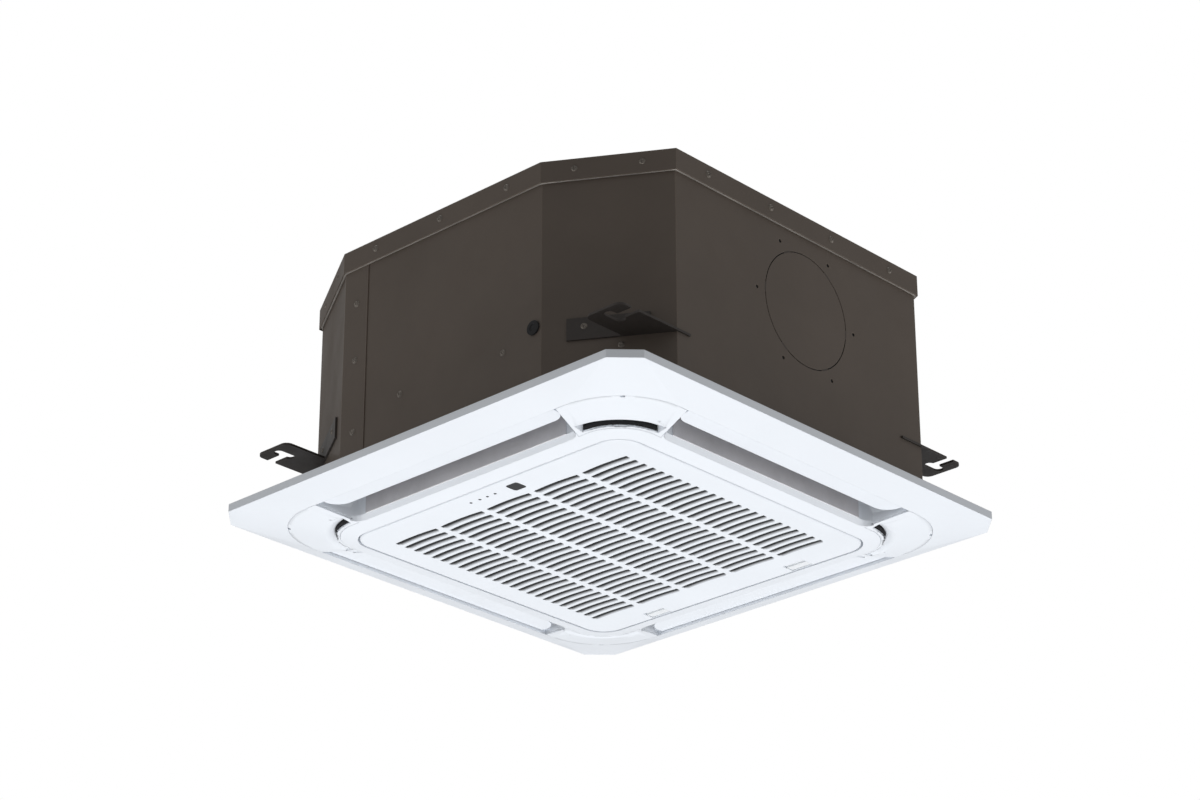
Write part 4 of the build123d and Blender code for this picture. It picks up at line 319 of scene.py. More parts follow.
class Palette:
    """Every finish of the unit, built once and handed out by name."""

    WHITE: Colour = (0.785, 0.82, 0.87)
    CASING: Colour = (0.118, 0.093, 0.074)
    # A ring of painted shade where a knock-out is stamped in the front wrap: its x and z, radius and half
    # width.
    KNOCKOUT = (17 * MM, 103 * MM, 70 * MM, 1.0 * MM)
    # Levels between which the painted shade on the grille slots' walls deepens.
    SLOT = (-103.25 * MM, -101.3 * MM)
    # Each row: name, colour, roughness, metallic, grain, its scale and depth, drift, its scale, edge radius,
    # painted edge highlight, roughness drift, painted ring shade.
    FINISHES: tuple[Finish, ...] = (
        Finish("wrap_coating", CASING, 0.5, 0.0, PEEL, 420.0, 5e-5, 0.09, 5.0, 8e-4, 0.35, 0.1, KNOCKOUT),
        # Lighter than the casing coat that the hem is rolled from: a painted highlight.
        Finish("hem_painted_highlight", (0.38, 0.35, 0.32), 0.42, 0.3, PEEL, 420.0, 4e-5, 0.22, 14.0, 4e-4),
        Finish("grey_foam", (0.03, 0.03, 0.032), 0.9, 0.0, BEADS, 260.0, 2e-4, 0.08, 6.0, 8e-4),
        Finish("casing_coating", CASING, 0.5, 0.0, PEEL, 420.0, 5e-5, 0.09, 5.0, 8e-4, 0.35, 0.1),
        Finish("bracket_coating", (0.046, 0.038, 0.033), 0.45, 0.0, PEEL, 500.0, 4e-5, 0.14, 9.0, 4e-4,
               0.25, 0.1),
        Finish("zinc_sheet", (0.5, 0.51, 0.52), 0.38, 0.85, SPANGLE, 160.0, 1e-5, 0.05, 8.0, 4e-4),
        Finish("screw_zinc", (0.3, 0.28, 0.25), 0.36, 0.8, DRAWN, 900.0, 1e-5, 0.08, 30.0, 2e-4),
        Finish("coated_screw", (0.21, 0.185, 0.16), 0.36, 0.55, DRAWN, 900.0, 2e-5, 0.14, 30.0, 2e-4, 0.2),
        Finish("panel_plastic", WHITE, 0.4, 0.0, SPARK, 1500.0, 12e-6, 0.012, 5.0, 7e-4),
        Finish("slot_plastic", WHITE, 0.45, 0.0, SPARK, 1500.0, 1e-5, 0.012, 5.0, 3e-4, painted_shade_by_depth=SLOT),
        Finish("louver_plastic", WHITE, 0.36, 0.0, SPARK, 1500.0, 1e-5, 0.012, 6.0, 5e-4),
        Finish("latch_plastic", (0.76, 0.785, 0.81), 0.42, 0.0, SPARK, 1500.0, 12e-6, 0.02, 9.0, 3e-4),
        Finish("window_smoke", (0.03, 0.031, 0.034), 0.16, 0.0, SPARK, 900.0, 4e-6, 0.05, 20.0, 4e-4),
        Finish("lens_clear", (0.025, 0.026, 0.028), 0.2, 0.0, SPARK, 900.0, 4e-6, 0.05, 20.0, 3e-4),
        Finish("case_plastic", (0.12, 0.125, 0.13), 0.5),
        Finish("filter_plastic", (0.045, 0.045, 0.048), 0.62, 0.0, SPARK, 1200.0, 2e-5, 0.08, 10.0, 3e-4),
        Finish("foam_beads", (0.76, 0.76, 0.75), 0.85, 0.0, BEADS, 260.0, 25e-5, 0.03, 6.0, 8e-4),
        Finish("dark_foam", (0.01, 0.01, 0.011), 0.95, 0.0, BEADS, 900.0, 1e-4, 0.12, 12.0, 5e-4),
        Finish("duct_felt", (0.62, 0.61, 0.635), 0.92, 0.0, FIBRE, 700.0, 12e-5, 0.1, 22.0, 4e-4),
        Finish("fin_metal", (0.56, 0.58, 0.6), 0.34, 0.9, DRAWN, 700.0, 1e-5, 0.05, 12.0, 1e-4),
        Finish("copper_tube", (0.62, 0.3, 0.18), 0.3, 1.0, DRAWN, 500.0, 1e-5, 0.1, 16.0, 4e-4),
        Finish("nut_brass", (0.58, 0.42, 0.16), 0.32, 1.0, DRAWN, 900.0, 1e-5, 0.06, 20.0, 4e-4),
        Finish("wheel_plastic", (0.085, 0.088, 0.094), 0.52, 0.0, SPARK, 900.0, 2e-5, 0.06, 8.0, 6e-4),
        Finish("bell_plastic", (0.62, 0.625, 0.63), 0.48, 0.0, SPARK, 1200.0, 2e-5, 0.02, 6.0, 6e-4),
        Finish("motor_coat", (0.02, 0.02, 0.022), 0.4, 0.2, PEEL, 700.0, 3e-5, 0.1, 12.0, 5e-4, 0.15),
        Finish("shaft_steel", (0.52, 0.53, 0.54), 0.26, 1.0, DRAWN, 900.0, 8e-6, 0.04, 20.0, 3e-4),
        Finish("board_laminate", (0.018, 0.085, 0.04), 0.42, 0.0, SPARK, 600.0, 3e-5, 0.12, 30.0, 2e-4),
        Finish("terminal_plastic", (0.6, 0.58, 0.52), 0.5),
        Finish("pump_plastic", (0.68, 0.68, 0.66), 0.46),
        Finish("hose_pvc", (0.3, 0.31, 0.33), 0.5, 0.0, PEEL, 300.0, 5e-5, 0.05, 12.0, 5e-4),
        Finish("black_rubber", (0.016, 0.016, 0.017), 0.8, 0.0, SPARK, 1200.0, 3e-5, 0.1, 14.0, 5e-4),
    )

    def __init__(self) -> None:
        """Build every material."""
        self._made = {finish.name: finish.build() for finish in self.FINISHES}

    def get(self, name: str) -> Material:
        """The material with that name."""
        return self._made[name]


# Nodes of each finish; one that stands here without its number stands for all four.
NODES_OF_FINISH: dict[str, str] = {
    "casing_coating": "top_pan side_wrap_rear",
    "wrap_coating": "side_wrap_front",
    "coated_screw": "casing_screws bracket_screws",
    "black_rubber": "cable_grommet motor_bushings",
    "zinc_sheet": "pipe_plate corner_plates coil_end_plates pump_bracket control_box control_box_cover",
    "bracket_coating": "hanger_bracket",
    "screw_zinc": "panel_screws service_screws fan_nut",
    "grey_foam": "eps_liner",
    "foam_beads": "drain_pan",
    "bell_plastic": "bell_mouth",
    "fin_metal": "coil_fins",
    "copper_tube": "return_bends refrigerant_pipes",
    "nut_brass": "flare_nuts",
    "motor_coat": "fan_motor",
    "pump_plastic": "drain_pump float_switch float_ring drain_spigot",
    "hose_pvc": "drain_hose",
    "board_laminate": "control_board",
    "terminal_plastic": "terminal_block louver_motors",
    "panel_plastic": "panel_frame corner_cover intake_grille",
    "dark_foam": "corner_seals duct_seals",
    "duct_felt": "duct_insulation",
    "louver_plastic": "louver",
    "filter_plastic": "air_filter",
    "window_smoke": "receiver_window",
    "lens_clear": "indicator_lenses",
    "case_plastic": "display_case",
    "latch_plastic": "grille_latch_left grille_latch_right",
    "wheel_plastic": "fan_wheel",
    "shaft_steel": "motor_shaft",
}
FINISH_OF = {node: finish for finish, nodes in NODES_OF_FINISH.items() for node in nodes.split()}


def dress_nodes(palette: Palette) -> None:
    """Give every CAD node its finish.

    Args:
        palette: The finishes.
    """
    for name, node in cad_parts.items():
        slots, material = node.data.materials, palette.get(FINISH_OF[name.rstrip("_1234")])
        for index in range(len(slots)):
            slots[index] = material
        if not slots:
            slots.append(material)


# ------------------------------------------------------------------ repeated pieces

class NodeRecipe:
    """A Geometry Nodes tree with named inputs, run once on a carrier mesh and turned into a plain mesh."""

    SOCKETS = {float: "Float", int: "Int", tuple: "Vector", bpy.types.Object: "Object"}

    def __init__(self, name: str, inputs: dict[str, object]) -> None:
        """Start the tree.

        Args:
            name: Name of the tree and of the piece it makes.
            inputs: Value of each named input.
        """
        self.name = name
        self.values = inputs
        self.tree = bpy.data.node_groups.new(name + "_recipe", "GeometryNodeTree")
        face = self.tree.interface
        for way in ("INPUT", "OUTPUT"):
            face.new_socket(name="Geometry", in_out=way, socket_type="NodeSocketGeometry")
        for key, value in inputs.items():
            face.new_socket(name=key, in_out="INPUT", socket_type="NodeSocket" + self.SOCKETS[type(value)])
        self.start = self.tree.nodes.new("NodeGroupInput")

    def put(self, kind: str, inputs: dict | None = None, **settings: object) -> Node:
        """Add a node to this tree. A string that names an input of the tree stands for that input."""
        given = self.start.outputs
        found = {key: given[value] if isinstance(value, str) and value in given else value
                 for key, value in (inputs or {}).items()}
        return put(self.tree, kind, found, **settings)

    def maths(self, operation: str, *operands: object) -> Node:
        """Add a Math node to this tree."""
        return self.put("Math", dict(enumerate(operands)), operation=operation)

    def vector(self, **parts: object) -> Node:
        """A vector from its named parts, 0 where none is given."""
        return self.put("CombineXYZ", parts)

    def sample(self, key: str) -> Socket:
        """The geometry of a named input that holds an object."""
        return self.put("ObjectInfo", {"Object": key}).outputs["Geometry"]

    def curve(self) -> Node:
        """The carrier's line as a curve."""
        return self.put("MeshToCurve", {"Mesh": "Geometry"})

    def join(self, *parts: Node | Socket) -> Node:
        """The parts as one geometry."""
        joined = self.put("JoinGeometry")
        for part in parts:
            self.tree.links.new(first(part), joined.inputs["Geometry"])
        return joined

    def mesh(self, geometry: Node, carrier: Mesh, material: Material) -> Mesh:
        """Close the tree, run it and return its result as a plain mesh.

        Args:
            geometry: The instances or mesh to end with.
            carrier: The mesh that the modifier sits on.
            material: The finish of the result.

        Returns:
            The mesh.
        """
        real = self.put("RealizeInstances", {"Geometry": geometry})
        dressed = self.put("SetMaterial", {"Geometry": real, "Material": material})
        self.put("NodeGroupOutput", {"Geometry": dressed})
        holder = linked(self.name + "_carrier", carrier)
        modifier = holder.modifiers.new("recipe", "NODES")
        modifier.node_group = self.tree
        for item in self.tree.interface.items_tree:
            if item.in_out == "INPUT" and item.name in self.values:
                modifier[item.identifier] = self.values[item.name]
        graph = bpy.context.evaluated_depsgraph_get()
        graph.update()
        mesh = bpy.data.meshes.new_from_object(holder.evaluated_get(graph))
        mesh.name = self.name
        holder.modifiers.remove(modifier)
        bpy.data.objects.remove(holder)
        if not mesh.materials:
            mesh.materials.append(material)
        return mesh


def stand(name: str, mesh: Mesh, body: str, node: str | None = None) -> Piece:
    """Set a finished mesh in the scene, on its body.

    Args:
        name: Name of the piece.
        mesh: Its mesh, dressed, with its place in it.
        body: The body that it rides on.
        node: The CAD node that it stands for, if any.

    Returns:
        The finished piece.
    """
    piece = linked(name, mesh)
    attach(piece, body)
    if node:
        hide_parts(node)
    LOG.info("%s: %d faces on %s", name, len(mesh.polygons), body)
    return piece


def smooth(piece: Piece) -> None:
    """Shade a piece smoothly."""
    piece.data.polygons.foreach_set("use_smooth", [True] * len(piece.data.polygons))


def solid_boxes(node: str) -> list[tuple[Vector, Vector]]:
    """Box of each separate solid of a CAD node.

    Args:
        node: Name of the node.

    Returns:
        One (lowest corner, highest corner) pair for each solid.
    """
    work = merged(node)
    seen: set[int] = set()
    boxes = []
    work.verts.ensure_lookup_table()
    for vert in work.verts:
        if vert.index in seen:
            continue
        stack, members = [vert], []
        seen.add(vert.index)
        while stack:
            current = stack.pop()
            members.append(current.co.copy())
            for edge in current.link_edges:
                other = edge.other_vert(current)
                if other.index not in seen:
                    seen.add(other.index)
                    stack.append(other)
        boxes.append(tuple(Vector([pick(co[axis] for co in members) for axis in range(3)])
                           for pick in (min, max)))
    work.free()
    return boxes


@dataclass
class Assembly:
    """A sub-assembly: the finishes that dress it and the body that it rides on."""
    palette: Palette
    body: str = "unit"


@dataclass
class ScrewHeads(Assembly):
    """Pan-head screws with a cross recess, set where the CAD has its plain heads."""
    radius: float = 4.2 * MM
    height: float = 2.2 * MM
    recess_half: float = 0.55 * MM
    recess_reach: float = 2.3 * MM
    recess_depth: float = 1.2 * MM
    rings: int = 5
    segments: int = 24
    dome_power: float = 3.2
    turn: float = 0.6
    seed: int = 11
    flat_limit: float = 1.15        # thinnest side of a box whose head faces along an axis, in heights
    seen_share: float = 0.8         # of a head's height, in the x of a box on a cut corner

    def head(self) -> Mesh:
        """One head standing on z = 0: a dome with a cross-shaped recess."""
        work = bmesh.new()
        centre = work.verts.new((0, 0, self._height(0, 0)))
        loops = []
        for ring in range(1, self.rings + 1):
            reach = self.radius * ring / self.rings
            loop = []
            for index in range(self.segments):
                angle = 2 * math.pi * index / self.segments
                x, y = reach * math.cos(angle), reach * math.sin(angle)
                loop.append(work.verts.new((x, y, self._height(x, y))))
            loops.append(loop)
        for index, after in around(self.segments):
            work.faces.new((centre, loops[0][index], loops[0][after]))
            for inner, outer in zip(loops, loops[1:]):
                work.faces.new((inner[index], outer[index], outer[after], inner[after]))
        bmesh.ops.recalc_face_normals(work, faces=work.faces)
        return as_mesh(work, "screw_head")

    def _height(self, x: float, y: float) -> float:
        """Height of the head over a point of its plan."""
        share = min(math.hypot(x, y) / self.radius, 1.0)
        dome = self.height * (1 - share ** self.dome_power)
        in_cross = min(abs(x), abs(y)) < self.recess_half and max(abs(x), abs(y)) < self.recess_reach
        return dome - self.recess_depth if in_cross else dome

    def set_on(self, node: str, finish: str) -> Piece:
        """Put a head over every plain head of a CAD node, and stand for that node.

        Args:
            node: The CAD node with the plain heads.
            finish: Name of the heads' finish.

        Returns:
            The finished piece.
        """
        seats = [self._seat(low, high) for low, high in solid_boxes(node)]
        carrier = plain_mesh(node + "_seats", [tuple(foot) for foot, _ in seats])
        layer = carrier.attributes.new("facing", "FLOAT_VECTOR", "POINT")
        for index, (_, facing) in enumerate(seats):
            layer.data[index].vector = facing
        sample = linked(node + "_sample", self.head())
        recipe = NodeRecipe(node + "_heads", {"Head": sample, "Turn": self.turn})
        facing = recipe.put("InputNamedAttribute", {"Name": "facing"}, data_type="FLOAT_VECTOR")
        aligned = recipe.put("AlignRotationToVector", {"Vector": facing}, axis="Z")
        spread = recipe.put("RandomValue", {"Max": math.pi / 2, "Seed": self.seed}, data_type="FLOAT")
        spin = recipe.vector(Z=recipe.maths("MULTIPLY", spread.outputs[1], "Turn"))
        turned = recipe.put("RotateRotation", {"Rotation": aligned, "Rotate By": spin},
                            rotation_space="LOCAL")
        placed = recipe.put("InstanceOnPoints", {
            "Points": "Geometry", "Instance": recipe.sample("Head"), "Rotation": turned})
        piece = stand(recipe.name, recipe.mesh(placed, carrier, self.palette.get(finish)), self.body)
        bpy.data.objects.remove(sample)
        smooth(piece)
        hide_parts(node)
        return piece

    def _seat(self, low: Vector, high: Vector) -> tuple[Vector, Vector]:
        """Foot and facing of a head, from the box of its plain solid.

        A head that faces along an axis has its own height as its box's thinnest side. One on a cut
        corner is as wide as its box is high, and faces away from the unit's middle.
        """
        middle, size = (low + high) / 2, high - low
        thin = min(range(3), key=lambda axis: size[axis])
        if size[thin] < self.flat_limit * self.height:
            facing = Vector((0, 0, 0))
            facing[thin] = 1.0 if (thin != 2 and middle[thin] > 0) else -1.0
            foot = middle.copy()
            foot[thin] = low[thin] if facing[thin] > 0 else high[thin]
            return foot, facing
        sine = max(min((size.x - self.height * self.seen_share) / (2 * self.radius), 1.0), 0.0)
        facing = Vector((math.sqrt(max(1 - sine * sine, 0.0)), sine, 0.0))
        facing.x = math.copysign(facing.x, middle.x)
        facing.y = math.copysign(facing.y, middle.y)
        return middle - facing * self.height / 2, facing


@dataclass
class FilterNet(Assembly):
    """The intake filter: a flat frame with cross bars, over a net of threads."""
    rail: float = 6.0 * MM
    bar: float = 3.0 * MM
    bars: int = 3
    pitch: float = 2.0 * MM
    thread: float = 0.8 * MM

    def lay(self) -> None:
        """Lay the net in the box of the CAD filter, and stand for that node."""
        low, high = (Vector(corner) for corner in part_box("air_filter"))
        size, middle = high - low, (low + high) / 2
        recipe = NodeRecipe("filter_net", {
            "Middle": tuple(middle), "Width": size.x - self.rail, "Length": size.y - self.rail,
            "Pitch": self.pitch, "Thread": self.thread})
        across = self._threads(recipe, "X", "Width", "Y", "Length")
        along = self._threads(recipe, "Y", "Length", "X", "Width")
        beam = recipe.put("MeshCube", {"Size": (1.0, 1.0, 1.0)})
        extent = recipe.put("InputNamedAttribute", {"Name": "extent"}, data_type="FLOAT_VECTOR")
        beams = recipe.put("InstanceOnPoints", {"Points": "Geometry", "Instance": beam, "Scale": extent})
        joined = recipe.join(across, along, beams)
        mesh = recipe.mesh(joined, self._beams(middle, size), self.palette.get("filter_plastic"))
        piece = stand(recipe.name, mesh, self.body)
        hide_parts("air_filter")

    def _threads(self, recipe: NodeRecipe, axis: str, spread: str, other: str, reach: str) -> Node:
        """Parallel threads, spread along one axis and reaching over the other."""
        count = recipe.maths("FLOOR", recipe.maths("DIVIDE", spread, "Pitch"))
        start = recipe.vector(**{axis: recipe.maths("MULTIPLY", spread, -0.5)})
        step = recipe.vector(**{axis: "Pitch"})
        line = recipe.put("MeshLine", {"Count": count, "Start Location": start, "Offset": step},
                          mode="OFFSET")
        form = recipe.vector(**{axis: "Thread", other: reach, "Z": "Thread"})
        thread = recipe.put("MeshCube", {"Size": form})
        laid = recipe.put("InstanceOnPoints", {"Points": line, "Instance": thread})
        return recipe.put("Transform", {"Geometry": laid, "Translation": "Middle"})

    def _beams(self, middle: Vector, size: Vector) -> Mesh:
        """Centre and extent of every rail and cross bar, as points with an attribute."""
        beams = []
        for side in (-1, 1):
            beams.append(((side * (size.x - self.rail) / 2, 0.0), (self.rail, size.y)))
            beams.append(((0.0, side * (size.y - self.rail) / 2), (size.x - 2 * self.rail, self.rail)))
        for index in range(1, self.bars + 1):
            share = index / (self.bars + 1) - 0.5
            beams.append(((share * size.x, 0.0), (self.bar, size.y - 2 * self.rail)))
            beams.append(((0.0, share * size.y), (size.x - 2 * self.rail, self.bar)))
        mesh = plain_mesh("filter_beams", [(middle.x + x, middle.y + y, middle.z) for (x, y), _ in beams])
        layer = mesh.attributes.new("extent", "FLOAT_VECTOR", "POINT")
        for index, (_, (x, y)) in enumerate(beams):
            layer.data[index].vector = (x, y, size.z)
        return mesh


@dataclass
class FinPack(Assembly):
    """The folded coil: thin upright fins threaded on copper tubes, in place of the plain fin block."""
    thickness: float = 26.0 * MM
    corner: float = 60.0 * MM
    opening: float = 97.0 * MM
    pitch: float = 2.0 * MM
    fin: float = 0.30 * MM
    tube: float = 3.5 * MM
    tube_low: float = 17.0 * MM
    tube_pitch: float = 21.0 * MM
    tubes: int = 9
    tube_sides: int = 10
    arc_steps: int = 10

    def fold(self) -> None:
        """Make the fins and the tubes through them, and stand for the fin block."""
        low, high = (Vector(corner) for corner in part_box("coil_fins"))
        extent = (self.fin, self.thickness, high.z - low.z)
        fins = NodeRecipe("coil_fin_pack", {"Pitch": self.pitch, "Fin": extent})
        spaced = fins.put("ResampleCurve", {"Curve": fins.curve(), "Length": "Pitch"}, mode="LENGTH")
        points = fins.put("CurveToPoints", {"Curve": spaced}, mode="EVALUATED")
        along = points.outputs["Tangent"]
        turn = fins.put("AlignRotationToVector", {"Vector": along}, axis="X", pivot_axis="Z")
        fin = fins.put("MeshCube", {"Size": "Fin"})
        placed = fins.put("InstanceOnPoints", {"Points": points, "Instance": fin, "Rotation": turn})
        route = self._route(low, high, (low.z + high.z) / 2)
        pack = stand(fins.name, fins.mesh(placed, route, self.palette.get("fin_metal")), self.body)
        tubes = NodeRecipe("coil_tubes", {"Radius": self.tube, "Rows": self.tubes, "Rise": self.tube_pitch})
        circle = tubes.put("CurvePrimitiveCircle", {"Resolution": self.tube_sides, "Radius": "Radius"})
        tube = tubes.put("CurveToMesh", {"Curve": tubes.curve(), "Profile Curve": circle, "Fill Caps": True})
        step = tubes.vector(Z="Rise")
        rows = tubes.put("MeshLine", {"Count": "Rows", "Offset": step}, mode="OFFSET")
        stacked = tubes.put("InstanceOnPoints", {"Points": rows, "Instance": tube})
        route = self._route(low, high, low.z + self.tube_low)
        smooth(stand(tubes.name, tubes.mesh(stacked, route, self.palette.get("copper_tube")), self.body))
        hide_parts("coil_fins")

    def _route(self, low: Vector, high: Vector, z: float) -> Mesh:
        """The coil's middle line at one height, open at its +X +Y corner."""
        half = (high.x - low.x) / 2 - self.thickness / 2
        radius = self.corner - self.thickness / 2
        centre = half - radius
        points = [(half, self.opening)]
        for x_sign, y_sign, start in ((1, -1, 0.0), (-1, -1, -90.0), (-1, 1, -180.0)):
            for step in range(self.arc_steps + 1):
                angle = math.radians(start - 90.0 * step / self.arc_steps)
                points.append((x_sign * centre + radius * math.cos(angle),
                               y_sign * centre + radius * math.sin(angle)))
        points.append((self.opening, half))
        return plain_mesh("coil_route", [(x, y, z) for x, y in points], around(len(points))[:-1])


@dataclass
class RimHem(Assembly):
    """The rolled hem inside the lower edge of the top pan's rim, which catches the light from below; its
    finish is a lighter copy of the casing coat, a painted highlight.
    """
    half_x: float = 279.5 * MM
    half_y: float = 286.5 * MM
    cut_near: float = 77.6 * MM
    cut_far: float = 59.8 * MM
    cut_y: float = 128.6 * MM
    level: float = 196.5 * MM
    radius: float = 1.8 * MM
    sides: int = 12
    step: float = 9.0 * MM
    wander: float = 0.35 * MM
    wander_scale: float = 26.0
    wander_detail: float = 3.0

    def roll(self) -> None:
        """Run the hem round the pan."""
        recipe = NodeRecipe("rim_hem", {"Radius": self.radius, "Step": self.step, "Wander": self.wander})
        fine = recipe.put("ResampleCurve", {"Curve": recipe.curve(), "Length": "Step"}, mode="LENGTH")
        noise = recipe.put("TexNoise", {"Scale": self.wander_scale, "Detail": self.wander_detail})
        level = recipe.put("MapRange", {"Value": noise, "To Min": -1.0, "To Max": 1.0})
        shift = recipe.vector(Z=recipe.maths("MULTIPLY", level, "Wander"))
        moved = recipe.put("SetPosition", {"Geometry": fine, "Offset": shift})
        profile = recipe.put("CurvePrimitiveCircle", {"Resolution": self.sides, "Radius": "Radius"})
        swept = recipe.put("CurveToMesh", {"Curve": moved, "Profile Curve": profile})
        smooth(stand(recipe.name, recipe.mesh(swept, self._route(), self.palette.get("hem_painted_highlight")), self.body))

    def _route(self) -> Mesh:
        """The rim's eight corners as a closed line."""
        x, y = self.half_x, self.half_y
        corners = [(-x + self.cut_near, -y), (x - self.cut_far, -y), (x, -y + self.cut_y),
                   (x, y - self.cut_y), (x - self.cut_far, y), (-x + self.cut_near, y),
                   (-x, y - self.cut_y), (-x, -y + self.cut_y)]
        return plain_mesh("hem_route", [(px, py, self.level) for px, py in corners], around(len(corners)))


@dataclass
class SlottedFace(Assembly):
    """The grille's face: the CAD skin, with slots whose lower edge is rounded over."""
    rows: int = 24
    columns: int = 5
    pitch_x: float = 14.2 * MM
    pitch_y: float = 73.8 * MM
    length: float = 66.0 * MM
    bow: float = 1.8 * MM
    back: float = -5.4 * MM
    shift: float = 0.2 * MM
    width: float = 9.4 * MM
    end_width: float = 5.4 * MM
    taper: float = 0.12
    shoulder: float = 0.5
    depth: float = 4.0 * MM
    steps: int = 20
    levels: int = 6
    inside: float = 1.0 * MM

    def mould(self) -> None:
        """Make the face and the slots' walls, and stand for the CAD grille."""
        skin = merged("intake_grille")
        low = min(vert.co.z for vert in skin.verts)
        sheets = [self._sheet(skin, low, "face", 0.0), self._sheet(skin, low + self.depth, "back", 1.0)]
        self._strip_walls(skin, low)
        for face in skin.faces:
            face.material_index = 0
        for mesh, slot in ((sheets[0], 0), (sheets[1], 0), (self._walls(low), 1)):
            before = len(skin.faces)
            skin.from_mesh(mesh)
            skin.faces.ensure_lookup_table()
            for face in skin.faces[before:]:
                face.material_index = slot
                face.smooth = slot == 1
        bmesh.ops.remove_doubles(skin, verts=skin.verts, dist=MERGE)
        bmesh.ops.recalc_face_normals(skin, faces=skin.faces)
        mesh = as_mesh(skin, "grille_moulding")
        for name in ("panel_plastic", "slot_plastic"):
            mesh.materials.append(self.palette.get(name))
        stand("grille_moulding", mesh, self.body, "intake_grille")

    def _in_field(self, place: Vector) -> bool:
        """Whether a point lies inside the slotted field."""
        return (abs(place.x) < self.rows * self.pitch_x / 2 + self.inside
                and abs(place.y) < self.columns * self.pitch_y / 2 + self.inside)

    def _sheet(self, skin: BMesh, level: float, name: str, share: float) -> Mesh:
        """Swap the flat faces at one level for a sheet with the rounded slots' holes."""
        flat = [face for face in skin.faces if all(abs(vert.co.z - level) < LEVEL for vert in face.verts)]
        chosen = set(flat)
        rim = {edge for face in flat for edge in face.edges
               if sum(other in chosen for other in edge.link_faces) == 1}
        kept = [edge for edge in rim if not all(self._in_field(vert.co) for vert in edge.verts)]
        places = {vert: index for index, vert in enumerate({vert for edge in kept for vert in edge.verts})}
        carrier = plain_mesh("grille_" + name + "_rim", [tuple(vert.co) for vert in places],
                             [tuple(places[vert] for vert in edge.verts) for edge in kept])
        bmesh.ops.delete(skin, geom=flat, context="FACES")
        outline = [self._point(index, side, share) for index, side in self._loop()]
        flat_loop = [(x, y, 0.0) for x, y, _ in outline]
        slot = plain_mesh("grille_" + name + "_slot", flat_loop, around(len(flat_loop)))
        recipe = self._recipe("grille_" + name, slot, level)
        rims = recipe.curve()
        slots = recipe.put("MeshToCurve", {"Mesh": self._laid(recipe)})
        filled = recipe.put("FillCurve", {"Curve": recipe.join(slots, rims)})
        return self._raised(recipe, filled, carrier, "panel_plastic")

    def _raised(self, recipe: NodeRecipe, geometry: Node, carrier: Mesh, finish: str) -> Mesh:
        """The geometry as a mesh at its level, without the slot sample that it came from."""
        lift = recipe.vector(Z="Level")
        moved = recipe.put("Transform", {"Geometry": geometry, "Translation": lift})
        mesh = recipe.mesh(moved, carrier, self.palette.get(finish))
        bpy.data.objects.remove(recipe.values["Slot"])
        return mesh

    def _strip_walls(self, skin: BMesh, low: float) -> None:
        """Take the plain slots' walls out of the skin."""
        walls = [face for face in skin.faces if all(self._in_field(vert.co) for vert in face.verts)
                 and all(vert.co.z < low + self.depth + LEVEL for vert in face.verts)]
        bmesh.ops.delete(skin, geom=walls, context="FACES")

    def _loop(self) -> list[tuple[int, int]]:
        """Order of the outline's points: along the -X edge, then back along the +X edge."""
        return ([(index, -1) for index in range(self.steps + 1)]
                + [(index, 1) for index in range(self.steps, -1, -1)])

    def _point(self, index: int, side: int, share: float) -> Point:
        """A point of a slot's wall, from its place on the outline and the share of the depth."""
        along = 2.0 * index / self.steps - 1.0
        edge = self.back - self.bow * (1 - along * along)
        full = min((1 - abs(along)) / self.taper, 1.0)
        width = self.end_width + (self.width - self.end_width) * math.sin(full * math.pi / 2)
        angle = share * math.pi / 2
        x = edge if side < 0 else edge + width * (1 - self.shoulder * math.sin(angle))
        return (x, self.shift + along * self.length / 2, self.depth * (1 - math.cos(angle)))

    def _recipe(self, name: str, slot: Mesh, level: float) -> NodeRecipe:
        """Start a recipe that lays one slot sample at every place of the field."""
        return NodeRecipe(name, {
            "Slot": linked(name + "_slot", slot), "Rows": self.rows, "Columns": self.columns,
            "Reach X": (self.rows - 1) * self.pitch_x, "Reach Y": (self.columns - 1) * self.pitch_y,
            "Level": level})

    def _laid(self, recipe: NodeRecipe) -> Node:
        """The slot sample at every place, as real geometry."""
        grid = recipe.put("MeshGrid", {"Size X": "Reach X", "Size Y": "Reach Y",
                                       "Vertices X": "Rows", "Vertices Y": "Columns"})
        placed = recipe.put("InstanceOnPoints", {"Points": grid, "Instance": recipe.sample("Slot")})
        return recipe.put("RealizeInstances", {"Geometry": placed})

    def _walls(self, low: float) -> Mesh:
        """The rounded walls of every slot."""
        loop = self._loop()
        points = [self._point(index, side, level / self.levels)
                  for level in range(self.levels + 1) for index, side in loop]
        faces = [(row * len(loop) + index, row * len(loop) + after, (row + 1) * len(loop) + after,
                  (row + 1) * len(loop) + index)
                 for row in range(self.levels) for index, after in around(len(loop))]
        recipe = self._recipe("grille_slots", plain_mesh("grille_slots_slot", points, (), faces), low)
        return self._raised(recipe, self._laid(recipe), plain_mesh("grille_slots_carrier"), "slot_plastic")


